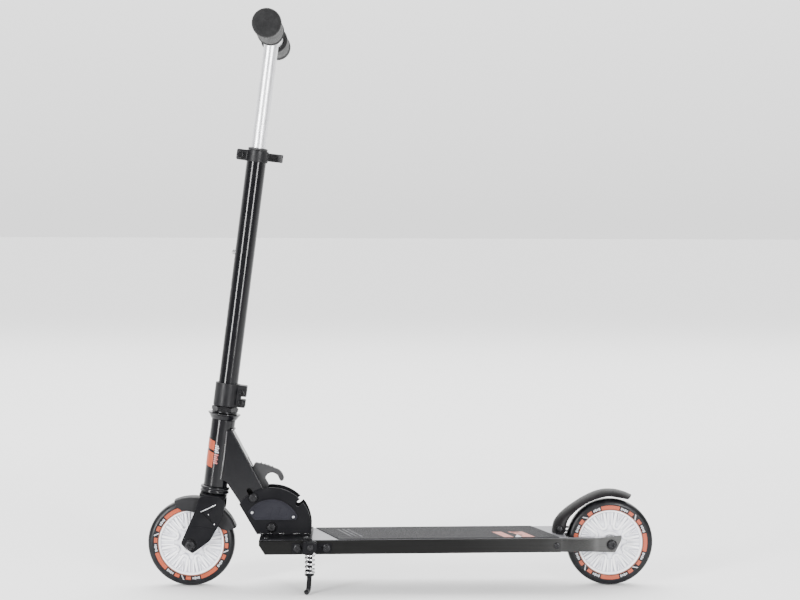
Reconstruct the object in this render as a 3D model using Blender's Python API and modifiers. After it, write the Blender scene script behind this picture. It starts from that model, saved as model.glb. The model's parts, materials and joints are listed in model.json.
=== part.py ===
"""Folding kick scooter with 120 mm wheels, built as separate pieces.

Lengths in this file are millimetres; the helpers turn them into Blender's metres.
Front is -X, rear is +X, the rider's left is -Y and up is +Z. The origin is on the
floor, half way between the axles, on the centre plane.
"""

import math

import bmesh
import bpy
from mathutils import Matrix, Vector

MM = 0.001
GAP = 0.3                       # air between neighbouring pieces

# Driving dimensions
WHEEL_R = 60.0
WHEELBASE = 580.0
HEAD_ANGLE = math.radians(7.24)  # steering axis leans back
STEER_X = -267.4                # steering axis at axle height
DECK_TOP = 71.3                 # deck surface above the middle of the wheelbase
DECK_RISE = math.radians(0.45)  # deck climbs towards the rear
DECK_H = 19.6
DECK_HALF_W = 50.0
DECK_WALL = 3.0
DECK_FRONT = -195.0
DECK_REAR = 225.0
BAR_HALF_W = 175.0
PIVOT = (-178.9, 82.9)          # fold pivot, X and Z
BRACKET_R = 54.8
LOCK_R = 48.2                   # lock pin centre from the fold pivot
LOCK_ANGLE = math.radians(121.7)
STOW_ANGLE = math.radians(41.5)  # second notch, for the folded column
AXLE_R = 4.0
HOLE_R = 4.35                   # bores that the axles pass through

FRONT_AXLE = Vector((-WHEELBASE / 2, 0, WHEEL_R))
REAR_AXLE = Vector((WHEELBASE / 2, 0, WHEEL_R))

WORLD = Matrix.Identity(4)
STEER = (Matrix.Translation(Vector((STEER_X, 0, WHEEL_R)) * MM)
         @ Matrix.Rotation(HEAD_ANGLE, 4, "Y"))      # z runs up the steering axis
DECK = (Matrix.Translation(Vector((0, 0, DECK_TOP)) * MM)
        @ Matrix.Rotation(-DECK_RISE, 4, "Y"))       # z = 0 is the deck surface

ALONG = {                       # where a turned piece's own z points
    "X": Matrix.Rotation(math.pi / 2, 4, "Y"),
    "Y": Matrix.Rotation(-math.pi / 2, 4, "X"),
    "Z": Matrix.Identity(4),
}
FACING = {                      # the plane a flat outline lies in, by its normal
    "X": Matrix(((0, 0, 1, 0), (1, 0, 0, 0), (0, 1, 0, 0), (0, 0, 0, 1))),
    "Y": Matrix.Rotation(math.pi / 2, 4, "X"),
    "Z": Matrix.Identity(4),
}


# ---------------------------------------------------------------- scene and helpers

for old in list(bpy.data.objects):
    bpy.data.objects.remove(old, do_unlink=True)


def collection(name):
    made = bpy.data.collections.new(name)
    bpy.context.scene.collection.children.link(made)
    return made


PARTS = collection("kick_scooter")
CUTTERS = collection("cutters")


def material(name, colour, roughness, metallic):
    made = bpy.data.materials.new(name)
    made.use_nodes = True
    shader = made.node_tree.nodes["Principled BSDF"]
    shader.inputs["Base Color"].default_value = (*colour, 1)
    shader.inputs["Roughness"].default_value = roughness
    shader.inputs["Metallic"].default_value = metallic
    return made


GLOSS_BLACK = material("gloss_black_paint", (0.012, 0.012, 0.014), 0.22, 0.0)
SATIN_BLACK = material("satin_black", (0.025, 0.025, 0.027), 0.45, 0.0)
BRUSHED = material("brushed_aluminium", (0.70, 0.70, 0.72), 0.35, 1.0)
STEEL = material("plated_steel", (0.60, 0.60, 0.62), 0.3, 1.0)
DARK_STEEL = material("black_steel", (0.03, 0.03, 0.03), 0.4, 0.6)
CHROME = material("chrome", (0.85, 0.85, 0.86), 0.08, 1.0)
TYRE = material("black_urethane", (0.02, 0.02, 0.022), 0.4, 0.0)
WHITE = material("white_plastic", (0.85, 0.85, 0.86), 0.2, 0.0)
FOAM = material("black_foam", (0.03, 0.03, 0.032), 0.85, 0.0)
TAPE = material("grip_tape", (0.10, 0.10, 0.11), 0.95, 0.0)
PLASTIC = material("black_plastic", (0.03, 0.03, 0.032), 0.5, 0.0)
BADGE = material("grey_plastic", (0.10, 0.10, 0.115), 0.5, 0.0)


def add(name, data, matrix):
    obj = bpy.data.objects.new(name, data)
    PARTS.objects.link(obj)
    obj.matrix_world = matrix
    return obj


def place(at, frame, turn):
    return frame @ Matrix.Translation(Vector(at) * MM) @ turn


def bake(obj):
    """The object's evaluated mesh, welded and facing out, in a new object of the same name."""
    bpy.context.view_layer.update()
    graph = bpy.context.evaluated_depsgraph_get()
    mesh = bpy.data.meshes.new_from_object(obj.evaluated_get(graph))
    shape = bmesh.new()
    shape.from_mesh(mesh)
    bmesh.ops.remove_doubles(shape, verts=shape.verts, dist=1e-6)
    bmesh.ops.recalc_face_normals(shape, faces=shape.faces)
    shape.to_mesh(mesh)
    shape.free()
    name, matrix = obj.name, obj.matrix_world.copy()
    bpy.data.objects.remove(obj, do_unlink=True)
    return add(name, mesh, matrix)


def turned(name, profile, steps, at=(0, 0, 0), along="Z", frame=WORLD):
    """A turned piece from (radius, height) points: a ring if no point is on the axis."""
    mesh = bpy.data.meshes.new(name)
    links = [(i, i + 1) for i in range(len(profile) - 1)]
    if min(r for r, _ in profile) > 0:
        links.append((len(profile) - 1, 0))
    mesh.from_pydata([(r * MM, 0, h * MM) for r, h in profile], links, [])
    obj = add(name, mesh, place(at, frame, ALONG[along]))
    screw = obj.modifiers.new("Screw", "SCREW")
    screw.steps = screw.render_steps = steps
    screw.use_merge_vertices = True
    screw.merge_threshold = 0.00001
    return bake(obj)


def drum(name, radius, low, high, steps=16, at=(0, 0, 0), along="Z", frame=WORLD):
    """A plain cylinder between two heights on its axis."""
    return turned(name, [(0, high), (radius, high), (radius, low), (0, low)],
                  steps, at, along, frame)


def plate(name, outline, thickness, at=(0, 0, 0), facing="Y", frame=WORLD):
    """A flat outline, extruded half its thickness to each side of its plane."""
    curve = bpy.data.curves.new(name, "CURVE")
    curve.dimensions = "2D"
    curve.fill_mode = "BOTH"
    curve.extrude = thickness / 2 * MM
    spline = curve.splines.new("POLY")
    spline.points.add(len(outline) - 1)
    for point, (a, b) in zip(spline.points, outline):
        point.co = (a * MM, b * MM, 0, 1)
    spline.use_cyclic_u = True
    return bake(add(name, curve, place(at, frame, FACING[facing])))


def rod(name, points, radius, resolution=2, frame=WORLD):
    """A round bar along a path of points."""
    curve = bpy.data.curves.new(name, "CURVE")
    curve.dimensions = "3D"
    curve.bevel_depth = radius * MM
    curve.bevel_resolution = resolution
    curve.use_fill_caps = True
    spline = curve.splines.new("POLY")
    spline.points.add(len(points) - 1)
    for point, co in zip(spline.points, points):
        point.co = (*(Vector(co) * MM), 1)
    return bake(add(name, curve, frame))


def box(name, low, high, frame=WORLD, bevel=0.0):
    low, high = Vector(low) * MM, Vector(high) * MM
    shape = bmesh.new()
    scale = Matrix.Diagonal((*(high - low), 1))
    bmesh.ops.create_cube(shape, size=1, matrix=Matrix.Translation((low + high) / 2) @ scale)
    mesh = bpy.data.meshes.new(name)
    shape.to_mesh(mesh)
    shape.free()
    obj = add(name, mesh, frame)
    if bevel:
        soften = obj.modifiers.new("Bevel", "BEVEL")
        soften.width = bevel * MM
        soften.segments = 2
        obj = bake(obj)
    return obj


def boolean(obj, other, operation):
    modifier = obj.modifiers.new(operation.title(), "BOOLEAN")
    modifier.operation = operation
    modifier.object = other


def join(obj, *others):
    """One body from overlapping ones."""
    for other in others:
        boolean(obj, other, "UNION")
    obj = bake(obj)
    for other in others:
        bpy.data.objects.remove(other, do_unlink=True)
    return obj


def cut(obj, *cutters):
    """Take the cutters away; they stay in the scene as wire guides."""
    for cutter in cutters:
        boolean(obj, cutter, "DIFFERENCE")
        if cutter.name not in CUTTERS.objects:
            CUTTERS.objects.link(cutter)
            PARTS.objects.unlink(cutter)
        cutter.hide_render = True
        cutter.display_type = "WIRE"
    weld = obj.modifiers.new("Weld", "WELD")
    weld.merge_threshold = 0.000003
    return obj


def common(obj, other):
    boolean(obj, other, "INTERSECT")
    obj = bake(obj)
    bpy.data.objects.remove(other, do_unlink=True)
    return obj


def arc(centre, radius, start, end, count):
    """Points on a circle, angles in degrees."""
    return [(centre[0] + radius * math.cos(math.radians(start + (end - start) * i / count)),
             centre[1] + radius * math.sin(math.radians(start + (end - start) * i / count)))
            for i in range(count + 1)]


def steps_along(start, end, count):
    return [start + (end - start) * i / count for i in range(count + 1)]


def coil(centre_of, turns, per_turn=7):
    """Points of a helix: centre_of gives the point for a turn count."""
    return [centre_of(i / per_turn) for i in range(int(turns * per_turn) + 1)]


def cap_bolt(name, at, length, shaft_r, head_r, head_h, socket_r, frame=WORLD):
    """A button-head bolt along Y. Its head's seat is at the given point and faces -Y."""
    body = turned(name, [(0, length), (shaft_r, length), (shaft_r, 0), (head_r, 0),
                         (head_r, -head_h * 0.45), (head_r * 0.72, -head_h), (0, -head_h)],
                  12, at, "Y", frame)
    socket = drum(name + "_socket", socket_r, -head_h - 1, -head_h * 0.35, 6, at, "Y", frame)
    return cut(body, socket)


def hex_nut(name, at, height, across_r, bore_r, frame=WORLD):
    """A hexagon nut along +Y, starting at the given point."""
    inner = bore_r / math.cos(math.pi / 6)
    return turned(name, [(across_r, height), (across_r, 0), (inner, 0), (inner, height)],
                  6, at, "Y", frame)


def finish(joint, surface, *objects):
    """Give pieces their material and tie them to the empty of the body they move with."""
    for obj in objects:
        obj.data.materials.clear()
        obj.data.materials.append(surface)
        obj.data.shade_smooth()
        obj.data.set_sharp_from_angle(angle=math.radians(35))
        obj.parent = joint
        obj.matrix_parent_inverse = joint.matrix_world.inverted()


def joint_empty(name, matrix, parent=None):
    empty = bpy.data.objects.new(name, None)
    empty.empty_display_size = 0.03
    bpy.context.scene.collection.objects.link(empty)
    empty.matrix_world = matrix
    if parent:
        empty.parent = parent
        empty.matrix_parent_inverse = parent.matrix_world.inverted()
    bpy.context.view_layer.update()
    return empty


def at_point(x, y, z, frame=WORLD):
    return frame @ Matrix.Translation(Vector((x, y, z)) * MM)


# ---------------------------------------------------------------- joints

SKEWER = (-22.5, 536.0)         # quick-release skewer, steering frame x and z
CAM_R, CAM_Y = 6.0, 17.2        # its cam, beside the collar's ears
BAR_S = 703.0                   # handlebar height along the steering axis
STAND_PIVOT = (-124.5, 63.5)
STAND_Y = -62.5                 # centre of the stand's rod
BRAKE_PIVOT = (219.0, 80.0)
SNAP_Y = 45.0                   # snap buttons from the centre plane

root = joint_empty("scooter", WORLD)
fold = joint_empty("fold", at_point(PIVOT[0], 0, PIVOT[1]), root)
lock_release = joint_empty("lock_release", at_point(PIVOT[0], 0, PIVOT[1]), fold)
steering = joint_empty("steering", STEER, fold)
height = joint_empty("height", STEER, steering)
qr_swing = joint_empty("qr_lever_swing", at_point(SKEWER[0], CAM_Y, SKEWER[1], STEER), steering)
snaps = {side: joint_empty("snap_" + side, at_point(0, sign * SNAP_Y, BAR_S, STEER), height)
         for side, sign in (("left", -1), ("right", 1))}
front_spin = joint_empty("front_wheel_spin", at_point(*FRONT_AXLE), steering)
rear_spin = joint_empty("rear_wheel_spin", at_point(*REAR_AXLE), root)
stand_fold = joint_empty("stand_fold", at_point(STAND_PIVOT[0], STAND_Y, STAND_PIVOT[1]), root)
brake_press = joint_empty("brake_press", at_point(BRAKE_PIVOT[0], 0, BRAKE_PIVOT[1]), root)


# ---------------------------------------------------------------- wheels

BEARING_R = 11.0
BEARING_W = 7.0
SLEEVE_HALF = 4.7               # spacer between the bearings
BOSS_Y = 12.3                   # where the frame's bosses meet the bearings


def wheel(prefix, centre, joint):
    tyre = turned(prefix + "_tyre", [
        (52.5, 11.7), (56.6, 10.4), (59.2, 8.0), (60.0, 5.0),
        (60.0, -5.0), (59.2, -8.0), (56.6, -10.4), (52.5, -11.7), (45.4, -10.8), (45.4, 10.8)],
        32, centre, "Y")
    pocket = BEARING_R + 0.4
    hub = turned(prefix + "_hub", [
        (45.0, 10.6), (45.0, -10.6), (43.0, -10.6), (41.0, -7.5), (16.0, -7.5), (14.5, -12.0),
        (pocket, -12.0), (pocket, -SLEEVE_HALF), (7.2, -SLEEVE_HALF),
        (7.2, SLEEVE_HALF), (pocket, SLEEVE_HALF), (pocket, 12.0),
        (14.5, 12.0), (16.0, 7.5), (41.0, 7.5), (43.0, 10.6)], 20, centre, "Y")
    start = SLEEVE_HALF + GAP
    bearings = [
        turned(prefix + "_bearing_" + side, [
            (BEARING_R, max(a, b)), (BEARING_R, min(a, b)), (HOLE_R, min(a, b)),
            (HOLE_R, max(a, b))], 16, centre, "Y")
        for side, a, b in (("left", -start - BEARING_W, -start), ("right", start, start + BEARING_W))]
    sleeve = turned(prefix + "_bearing_sleeve", [
        (6.6, SLEEVE_HALF), (6.6, -SLEEVE_HALF), (HOLE_R, -SLEEVE_HALF), (HOLE_R, SLEEVE_HALF)],
        12, centre, "Y")
    finish(joint, TYRE, tyre)
    finish(joint, WHITE, hub)
    finish(joint, STEEL, *bearings, sleeve)


wheel("front", FRONT_AXLE, front_spin)
wheel("rear", REAR_AXLE, rear_spin)


# ---------------------------------------------------------------- deck

ARM_FROM, ARM_TO = 210.0, 274.0  # the walls are pinched together over this stretch
ARM_WIDE, ARM_NARROW = 47.2, 28.0  # outer face of the walls before and after
ARM_T = 3.0
WALL_END = 217.0                # end of the straight side walls
LIP_END = 263.0                 # the top plate's edges reach back beside the wheel
FLANGE_FROM, FLANGE_TO = 229.0, 302.0  # flange beside the wheel, on top of each pinched wall
FLANGE_IN = 14.0                # its inner edge
FLANGE_SIDE = [(FLANGE_FROM, 65.0), (272, 64.9), (279, 67.3), (FLANGE_TO, 70.1),
               (FLANGE_TO, 72.1), (279, 69.3), (272, 66.9), (FLANGE_FROM, 67.0)]
TIE = (211.6, 0, 62.5)          # rod that ties the walls together
STAND_BOLTS = (-142.3, -102.9)  # X of the kickstand's two bolts
STAND_BOLT_Z = 60.0


def deck_section():
    """Cross-section of the deck: a plate with two side walls and two ribs, open below."""
    half = DECK_HALF_W
    inner = half - DECK_WALL
    right = [(half - 2, 0), (half - 0.6, -0.6), (half, -2), (half, -DECK_H + 1),
             (half - 1, -DECK_H), (inner, -DECK_H), (inner, -DECK_WALL),
             (22, -DECK_WALL), (22, -14), (19.5, -14), (19.5, -DECK_WALL)]
    return right + [(-y, z) for y, z in reversed(right)]


def arm_plan(side):
    """One pinched wall seen from above."""
    def face(offset):
        points = [(150.0, ARM_WIDE - offset)]
        for t in steps_along(0.0, 1.0, 8):
            ease = t * t * (3 - 2 * t)
            points.append((ARM_FROM + (ARM_TO - ARM_FROM) * t,
                           ARM_WIDE - offset + (ARM_NARROW - ARM_WIDE) * ease))
        points.append((310.0, ARM_NARROW - offset))
        return points
    outline = face(0) + face(ARM_T)[::-1]
    return [(x, side * y) for x, y in outline]


def flange_plan(side):
    """The flange on top of a pinched wall, seen from above: it reaches in to the wheel."""
    outer = [(FLANGE_FROM, ARM_WIDE - 4.0)]
    outer += [(x, abs(y) - 0.6) for x, y in arm_plan(1)[:10] if FLANGE_FROM < x < FLANGE_TO]
    outer.append((FLANGE_TO, ARM_NARROW - 0.6))
    outline = [(FLANGE_FROM, FLANGE_IN), (FLANGE_TO, FLANGE_IN)] + outer[::-1]
    return [(x, side * y) for x, y in outline]


def make_deck():
    length = LIP_END - DECK_FRONT
    deck = plate("deck", deck_section(), length, ((LIP_END + DECK_FRONT) / 2, 0, 0), "X", DECK)
    rear_gap = box("rear_gap", (DECK_REAR, -45.5, -30), (LIP_END + 5, 45.5, 5), DECK)
    wall_gap = box("wall_gap", (WALL_END, -55, -30), (LIP_END + 5, 55, -2.6), DECK)
    chin = plate("chin", [(-200, 63.5), (-195.3, 63.5), (-185.8, 49.0), (-185.8, 40), (-200, 40)],
                 110)
    deck = bake(cut(deck, rear_gap, wall_gap, chin))
    axle_hole = drum("rear_axle_hole", HOLE_R, -60, 60, 16, REAR_AXLE, "Y")
    side_shape = [(160, 56), (213, 53.6), (240, 52.2), (270, 49.8), (294.6, 49.0), (303, 66.0),
                  (303.7, 72.8), (279, 69.8), (272, 67.4), (264, 67.4), (262, 69.3), (160, 69.3)]
    for side in (-1, 1):
        arm = plate("arm", arm_plan(side), 60, (0, 0, 60), "Z")
        arm = common(arm, plate("arm_side", side_shape, 120))
        low, high = sorted((side * BOSS_Y, side * (ARM_NARROW - 1)))
        arm = join(arm, drum("boss", 6.2, low, high, 16, REAR_AXLE, "Y"))
        flange = plate("flange", flange_plan(side), 60, (0, 0, 60), "Z")
        arm = join(arm, common(flange, plate("flange_side", FLANGE_SIDE, 120)))
        deck = join(deck, bake(cut(arm, axle_hole)))
    tie_hole = drum("tie_hole", 2.8, -60, 60, 12, TIE, "Y")
    stand_holes = [drum("stand_hole", 2.8, -60, -40, 12, (x, 0, STAND_BOLT_Z), "Y")
                   for x in STAND_BOLTS]
    return cut(deck, tie_hole, *stand_holes)


deck = make_deck()
tape_outline = [(-86.0, -47.2), (216.0, -47.2), (184.5, 47.2), (-119.5, 47.2)]
grip_tape = plate("grip_tape", tape_outline, 0.8, (0, 0, 0.4 + GAP), "Z", DECK)
tie_rod = turned("deck_tie_rod", [
    (0, 52.3), (4.4, 52.0), (4.4, 50.3), (2.5, 50.3), (2.5, -50.3), (4.4, -50.3), (4.4, -52.0),
    (0, -52.3)], 12, TIE, "Y")
rear_axle_bolt = cap_bolt("rear_axle_bolt", (REAR_AXLE.x, -ARM_NARROW - GAP, REAR_AXLE.z),
                          2 * ARM_NARROW + 8.5, AXLE_R, 6.4, 4.2, 2.6)
rear_axle_nut = hex_nut("rear_axle_nut", (REAR_AXLE.x, ARM_NARROW + GAP, REAR_AXLE.z),
                        6.5, 7.5, HOLE_R)
finish(root, BRUSHED, deck)
finish(root, TAPE, grip_tape)
finish(root, DARK_STEEL, tie_rod, rear_axle_bolt, rear_axle_nut)


# ---------------------------------------------------------------- fold bracket

PLATE_Y = 15.5                  # inner face of the bracket plates
PLATE_T = 3.0
NOTCH_HALF = 3.35


def notch(angle):
    """A slot open at the rim, with a round bottom that the lock pin sits in."""
    reach = BRACKET_R + 6
    seat = (PIVOT[0] + LOCK_R * math.cos(angle), PIVOT[1] + LOCK_R * math.sin(angle))
    side = Vector((-math.sin(angle), math.cos(angle))) * NOTCH_HALF
    out = Vector((math.cos(angle), math.sin(angle))) * (reach - LOCK_R)
    seat = Vector(seat)
    degrees = math.degrees(angle)
    round_end = arc(seat, NOTCH_HALF, degrees + 90, degrees + 270, 6)
    outline = round_end + [tuple(seat - side + out), tuple(seat + side + out)]
    return plate("notch", outline, 60)


def bracket_plate(name, side, notches):
    base_z = 73.2
    low = math.degrees(math.asin((base_z - PIVOT[1]) / BRACKET_R))
    outline = arc(PIVOT, BRACKET_R, low, 144.5, 20) + [(-199.2, base_z)]
    obj = plate(name, outline, PLATE_T, (0, side * (PLATE_Y + PLATE_T / 2), 0))
    hole = drum("pivot_hole", 4.35, -30, 30, 16, (PIVOT[0], 0, PIVOT[1]), "Y")
    return cut(obj, hole, *notches)


notches = [notch(LOCK_ANGLE), notch(STOW_ANGLE)]
bracket_base = box("bracket_base", (-194.6, -49.2, GAP), (-122.5, 49.2, 2.0), DECK)
bracket_left = bracket_plate("bracket_plate_left", -1, notches)
bracket_right = bracket_plate("bracket_plate_right", 1, notches)
BADGE_Y = PLATE_Y + PLATE_T + GAP
badge_outline = arc(PIVOT, 39, 22, 146, 12) + [(-203.5, 94.5), (-201.5, 93.3), (-145.5, 93.3)]
badges = [plate("badge_" + name, badge_outline, 1.8, (0, side * (BADGE_Y + 0.9), 0))
          for name, side in (("left", -1), ("right", 1))]
SHELL_Y = PLATE_Y + PLATE_T
pivot_bolt = cap_bolt("fold_pivot_bolt", (PIVOT[0], -SHELL_Y - GAP, PIVOT[1]),
                      2 * SHELL_Y + 8, AXLE_R, 6.5, 4.0, 2.6)
pivot_nut = hex_nut("fold_pivot_nut", (PIVOT[0], SHELL_Y + GAP, PIVOT[1]), 6.5, 7.5, HOLE_R)
finish(root, SATIN_BLACK, bracket_base, bracket_left, bracket_right)
finish(root, BADGE, *badges)
finish(root, DARK_STEEL, pivot_bolt, pivot_nut)


# ---------------------------------------------------------------- kickstand

PLATE_OUT = -DECK_HALF_W - GAP  # the stand's plate lies on the deck's left wall
EYE_IN, EYE_OUT = -57.8, -66.2
CHEEK_T = 2.6


def make_stand_plate():
    x, z = STAND_PIVOT
    base = box("stand_plate", (-150.0, PLATE_OUT - 2.4, 53.2), (-96.0, PLATE_OUT, 66.4), bevel=0.8)
    cheek = arc(STAND_PIVOT, 8.4, 270, 360, 5) + [(x + 8.4, 68.6), (x + 5, 70.4), (x - 9.5, 70.4),
                                                  (x - 9.5, z - 8.3)]
    inner_in, outer_in = EYE_IN + GAP, EYE_OUT - GAP
    inner = plate("cheek", cheek, PLATE_OUT - 1 - inner_in, (0, (PLATE_OUT - 1 + inner_in) / 2, 0))
    outer = plate("cheek", cheek, CHEEK_T, (0, outer_in - CHEEK_T / 2, 0))
    wall = box("wall", (x - 9.0, outer_in - 1, z - 8.0), (x - 6.8, inner_in + 1, 70.0))
    base = join(base, inner, outer, wall)
    pin_hole = drum("pin_hole", 2.85, -80, -52.2, 12, (STAND_PIVOT[0], 0, STAND_PIVOT[1]), "Y")
    bolt_holes = [drum("bolt_hole", 2.8, -60, -45, 12, (x, 0, STAND_BOLT_Z), "Y")
                  for x in STAND_BOLTS]
    return cut(base, pin_hole, *bolt_holes)


def make_stand_leg():
    """A rod with an eye at its top, a spring seat, and a foot bent outwards."""
    x, z = STAND_PIVOT
    path = [(x, STAND_Y, z - 2), (x - 1.2, STAND_Y, 27), (x - 2.0, STAND_Y - 0.4, 11),
            (x - 2.6, STAND_Y - 1.6, 6.5), (x - 3.8, STAND_Y - 4.6, 4.0),
            (x - 5.2, STAND_Y - 9.0, 3.3)]
    leg = rod("kickstand_leg", path, 3.3)
    eye = box("eye", (x - 4.5, EYE_OUT, z - 8), (x + 4.5, EYE_IN, z + 3.2))
    seat = turned("seat", [(0, 26.6), (6.4, 26.6), (6.4, 24.6), (4.0, 23.6), (0, 23.6)], 16,
                  (x - 1.25, STAND_Y, 0))
    leg = join(leg, eye, seat)
    hole = drum("eye_hole", 2.85, -80, -50, 12, (x, 0, z), "Y")
    return cut(leg, hole)


def make_stand_spring():
    x, z = STAND_PIVOT
    top, bottom, turns = z - 9.9, 28.2, 5
    return rod("kickstand_spring", coil(lambda t: (
        x - 0.6 + 5.9 * math.cos(t * math.tau), STAND_Y + 5.9 * math.sin(t * math.tau),
        top + (bottom - top) * t / turns), turns), 1.15, 1)


stand_plate = make_stand_plate()
stand_bolts = [
    cap_bolt("stand_bolt_" + name, (x, PLATE_OUT - 2.4 - GAP, STAND_BOLT_Z), 10, 2.5, 5.6, 1.6, 2.2)
    for name, x in zip(("front", "rear"), STAND_BOLTS)]
stand_pin = turned("stand_pivot_pin", [
    (0, 17.0), (2.5, 17.0), (2.5, 0.0), (4.2, 0.0), (3.6, -1.4), (0, -1.6)], 12,
    (STAND_PIVOT[0], EYE_OUT - 2 * GAP - CHEEK_T, STAND_PIVOT[1]), "Y")
finish(root, SATIN_BLACK, stand_plate)
finish(root, DARK_STEEL, *stand_bolts, stand_pin)
finish(stand_fold, SATIN_BLACK, make_stand_leg())
finish(stand_fold, CHROME, make_stand_spring())


# ---------------------------------------------------------------- rear brake

FENDER_HALF = 19.0
FENDER_T = 2.0
FENDER_TOP = [(209.7, 74.5), (210.6, 83.0), (213.6, 91.0), (219.5, 98.6), (228.0, 106.2),
              (237.2, 112.9), (246.0, 118.7), (254.9, 123.8), (263.6, 128.0), (272.5, 131.4),
              (280.8, 133.2), (289.1, 133.6), (296.4, 133.2), (303.3, 131.9), (311.8, 129.2),
              (319.9, 125.8)]
FENDER_EDGE = [(312.5, 121.6), (300.0, 123.7), (287.6, 125.4), (279.0, 124.2), (267.9, 121.0),
               (256.9, 116.2), (245.9, 109.0), (238.5, 102.8), (231.6, 95.0), (228.2, 87.0),
               (226.8, 79.0), (225.0, 75.0), (219.0, 73.6)]


def inset(points, depth):
    """A polyline moved sideways, to the right of its direction."""
    moved = []
    for i, point in enumerate(points):
        before = Vector(points[max(i - 1, 0)])
        after = Vector(points[min(i + 1, len(points) - 1)])
        way = (after - before).normalized()
        moved.append((point[0] + way.y * depth, point[1] - way.x * depth))
    return moved


def make_brake_fender():
    """A channel that curves over the tyre, with its two skirts hinged at the deck."""
    shell = plate("brake_fender", FENDER_TOP + FENDER_EDGE, 2 * FENDER_HALF)
    inner = inset(FENDER_TOP, FENDER_T)
    room = [(inner[0][0], 60)] + inner + [(330, inner[-1][1]), (330, 60)]
    hollow = plate("fender_hollow", room, 2 * (FENDER_HALF - FENDER_T))
    hole = drum("brake_hole", 2.85, -30, 30, 12, (BRAKE_PIVOT[0], 0, BRAKE_PIVOT[1]), "Y")
    return cut(shell, hollow, hole)


def make_brake_bracket():
    """A small base on the deck with two lugs that hold the hinge pin."""
    base = box("brake_bracket", (213.4, -16.6, GAP), (224.4, 16.6, 1.3), DECK)
    x, z = BRAKE_PIVOT
    lugs = []
    for side in (-1, 1):
        outline = [(x - 5, 73.6), (x + 5, 73.6)] + arc((x, z), 5.0, 0, 180, 7)
        lugs.append(plate("lug", outline, 2.4, (0, side * 15.3, 0)))
    base = join(base, *lugs)
    hole = drum("lug_hole", 2.85, -30, 30, 12, (x, 0, z), "Y")
    return cut(base, hole)


def make_brake_spring():
    """A torsion spring round the pin: one leg on the deck, one under the fender."""
    x, z = BRAKE_PIVOT
    turns = 4
    winding = coil(lambda t: (x + 4.6 * math.cos(t * math.tau), -5 + 10 * t / turns,
                              z + 4.6 * math.sin(t * math.tau)), turns)
    return rod("brake_spring", [(x + 4.6, -5.6, z - 3.6)] + winding
               + [(x + 4.9, 5.8, z + 8.0), (x + 13.0, 5.8, z + 18.0)], 0.8, 1)


brake_pin = turned("brake_pin", [
    (0, 21.2), (4.0, 21.0), (4.0, 19.3), (2.5, 19.3), (2.5, -19.3), (4.0, -19.3), (4.0, -21.0),
    (0, -21.2)], 12, (BRAKE_PIVOT[0], 0, BRAKE_PIVOT[1]), "Y")
finish(root, SATIN_BLACK, make_brake_bracket())
finish(root, DARK_STEEL, brake_pin)
finish(root, STEEL, make_brake_spring())
finish(brake_press, SATIN_BLACK, make_brake_fender())


# ---------------------------------------------------------------- neck and headset

HEAD_LOW, HEAD_HIGH = 79.0, 171.5
NECK_HALF = 15.0
NECK_WALL = 2.5
LOCK_LIFT = 10.5
LOCK_WAY = Vector((math.cos(LOCK_ANGLE), math.sin(LOCK_ANGLE)))
LOCK_PIN = Vector(PIVOT) + LOCK_WAY * LOCK_R


def make_neck():
    """The head tube with its box-section neck, whose two cheeks end round the fold pivot."""
    tongue = arc(PIVOT, 9.4, 15, -150, 8)
    outline = [(-262.0, 160.0), (-252.5, 217.6), (-233.8, 217.6), (-190.9, 137.4), (-172.6, 103.0),
               *tongue, (-199.4, 84.0), (-221.2, 114.1), (-241.1, 144.4), (-253.0, 150.0)]
    neck = plate("neck_frame", outline, 2 * NECK_HALF)
    room = [(-262.0, 163.0), (-254.0, 206.0), (-237.0, 206.0), (-193.6, 136.6), (-175.6, 103.0),
            (-160, 86), (-160, 66), (-185, 66), (-201.6, 89.0), (-219.2, 115.4), (-240.0, 147.5)]
    hollow = plate("neck_hollow", room, 2 * (NECK_HALF - NECK_WALL))
    neck = bake(cut(neck, hollow))
    tube = drum("head_tube", 16.5, HEAD_LOW, HEAD_HIGH, 24, frame=STEER)
    neck = join(neck, tube)
    bore = drum("head_bore", 14.0, HEAD_LOW - 9, HEAD_HIGH + 9, 24, frame=STEER)
    end = LOCK_PIN + LOCK_WAY * (LOCK_LIFT + 0.3)
    lock_slot = slot("lock_slot", LOCK_PIN - LOCK_WAY * 0.3, end, NOTCH_HALF, 60)
    window = plate("lever_window", [(-180.0, 131.0), (-196.0, 128.0), (-222.0, 172.0),
                                    (-206.0, 182.0)], 9.4)
    pivot_hole = drum("neck_pivot_hole", 4.35, -30, 30, 16, (PIVOT[0], 0, PIVOT[1]), "Y")
    return cut(neck, bore, lock_slot, window, pivot_hole)


def slot(name, start, end, half, thickness):
    """A straight slot with round ends, cut through along Y."""
    way = math.degrees(math.atan2(end.y - start.y, end.x - start.x))
    outline = arc(start, half, way + 90, way + 270, 6) + arc(end, half, way - 90, way + 90, 6)
    return plate(name, outline, thickness)


finish(fold, GLOSS_BLACK, make_neck())
lower_cup = turned("headset_cup_lower", [
    (18.6, 78.7), (20.0, 77.4), (20.0, 70.6), (18.6, 69.3), (17.3, 69.3), (17.3, 76.9),
    (14.0, 76.9), (14.0, 78.7)], 20, frame=STEER)
upper_cup = turned("headset_cup_upper", [
    (22.4, 180.6), (22.4, 179.4), (18.9, 174.6), (17.2, 171.8), (14.0, 171.8), (14.0, 173.6),
    (16.5, 173.6), (16.5, 180.6)], 20, frame=STEER)
lower_bearing = turned("headset_bearing_lower", [
    (16.8, 76.6), (16.8, 69.5), (12.0, 69.5), (12.0, 76.6)], 16, frame=STEER)
upper_bearing = turned("headset_bearing_upper", [
    (16.0, 180.3), (16.0, 173.9), (12.0, 173.9), (12.0, 180.3)], 16, frame=STEER)
finish(fold, GLOSS_BLACK, lower_cup, upper_cup)
finish(fold, STEEL, lower_bearing, upper_bearing)


# ---------------------------------------------------------------- fold lock

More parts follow.
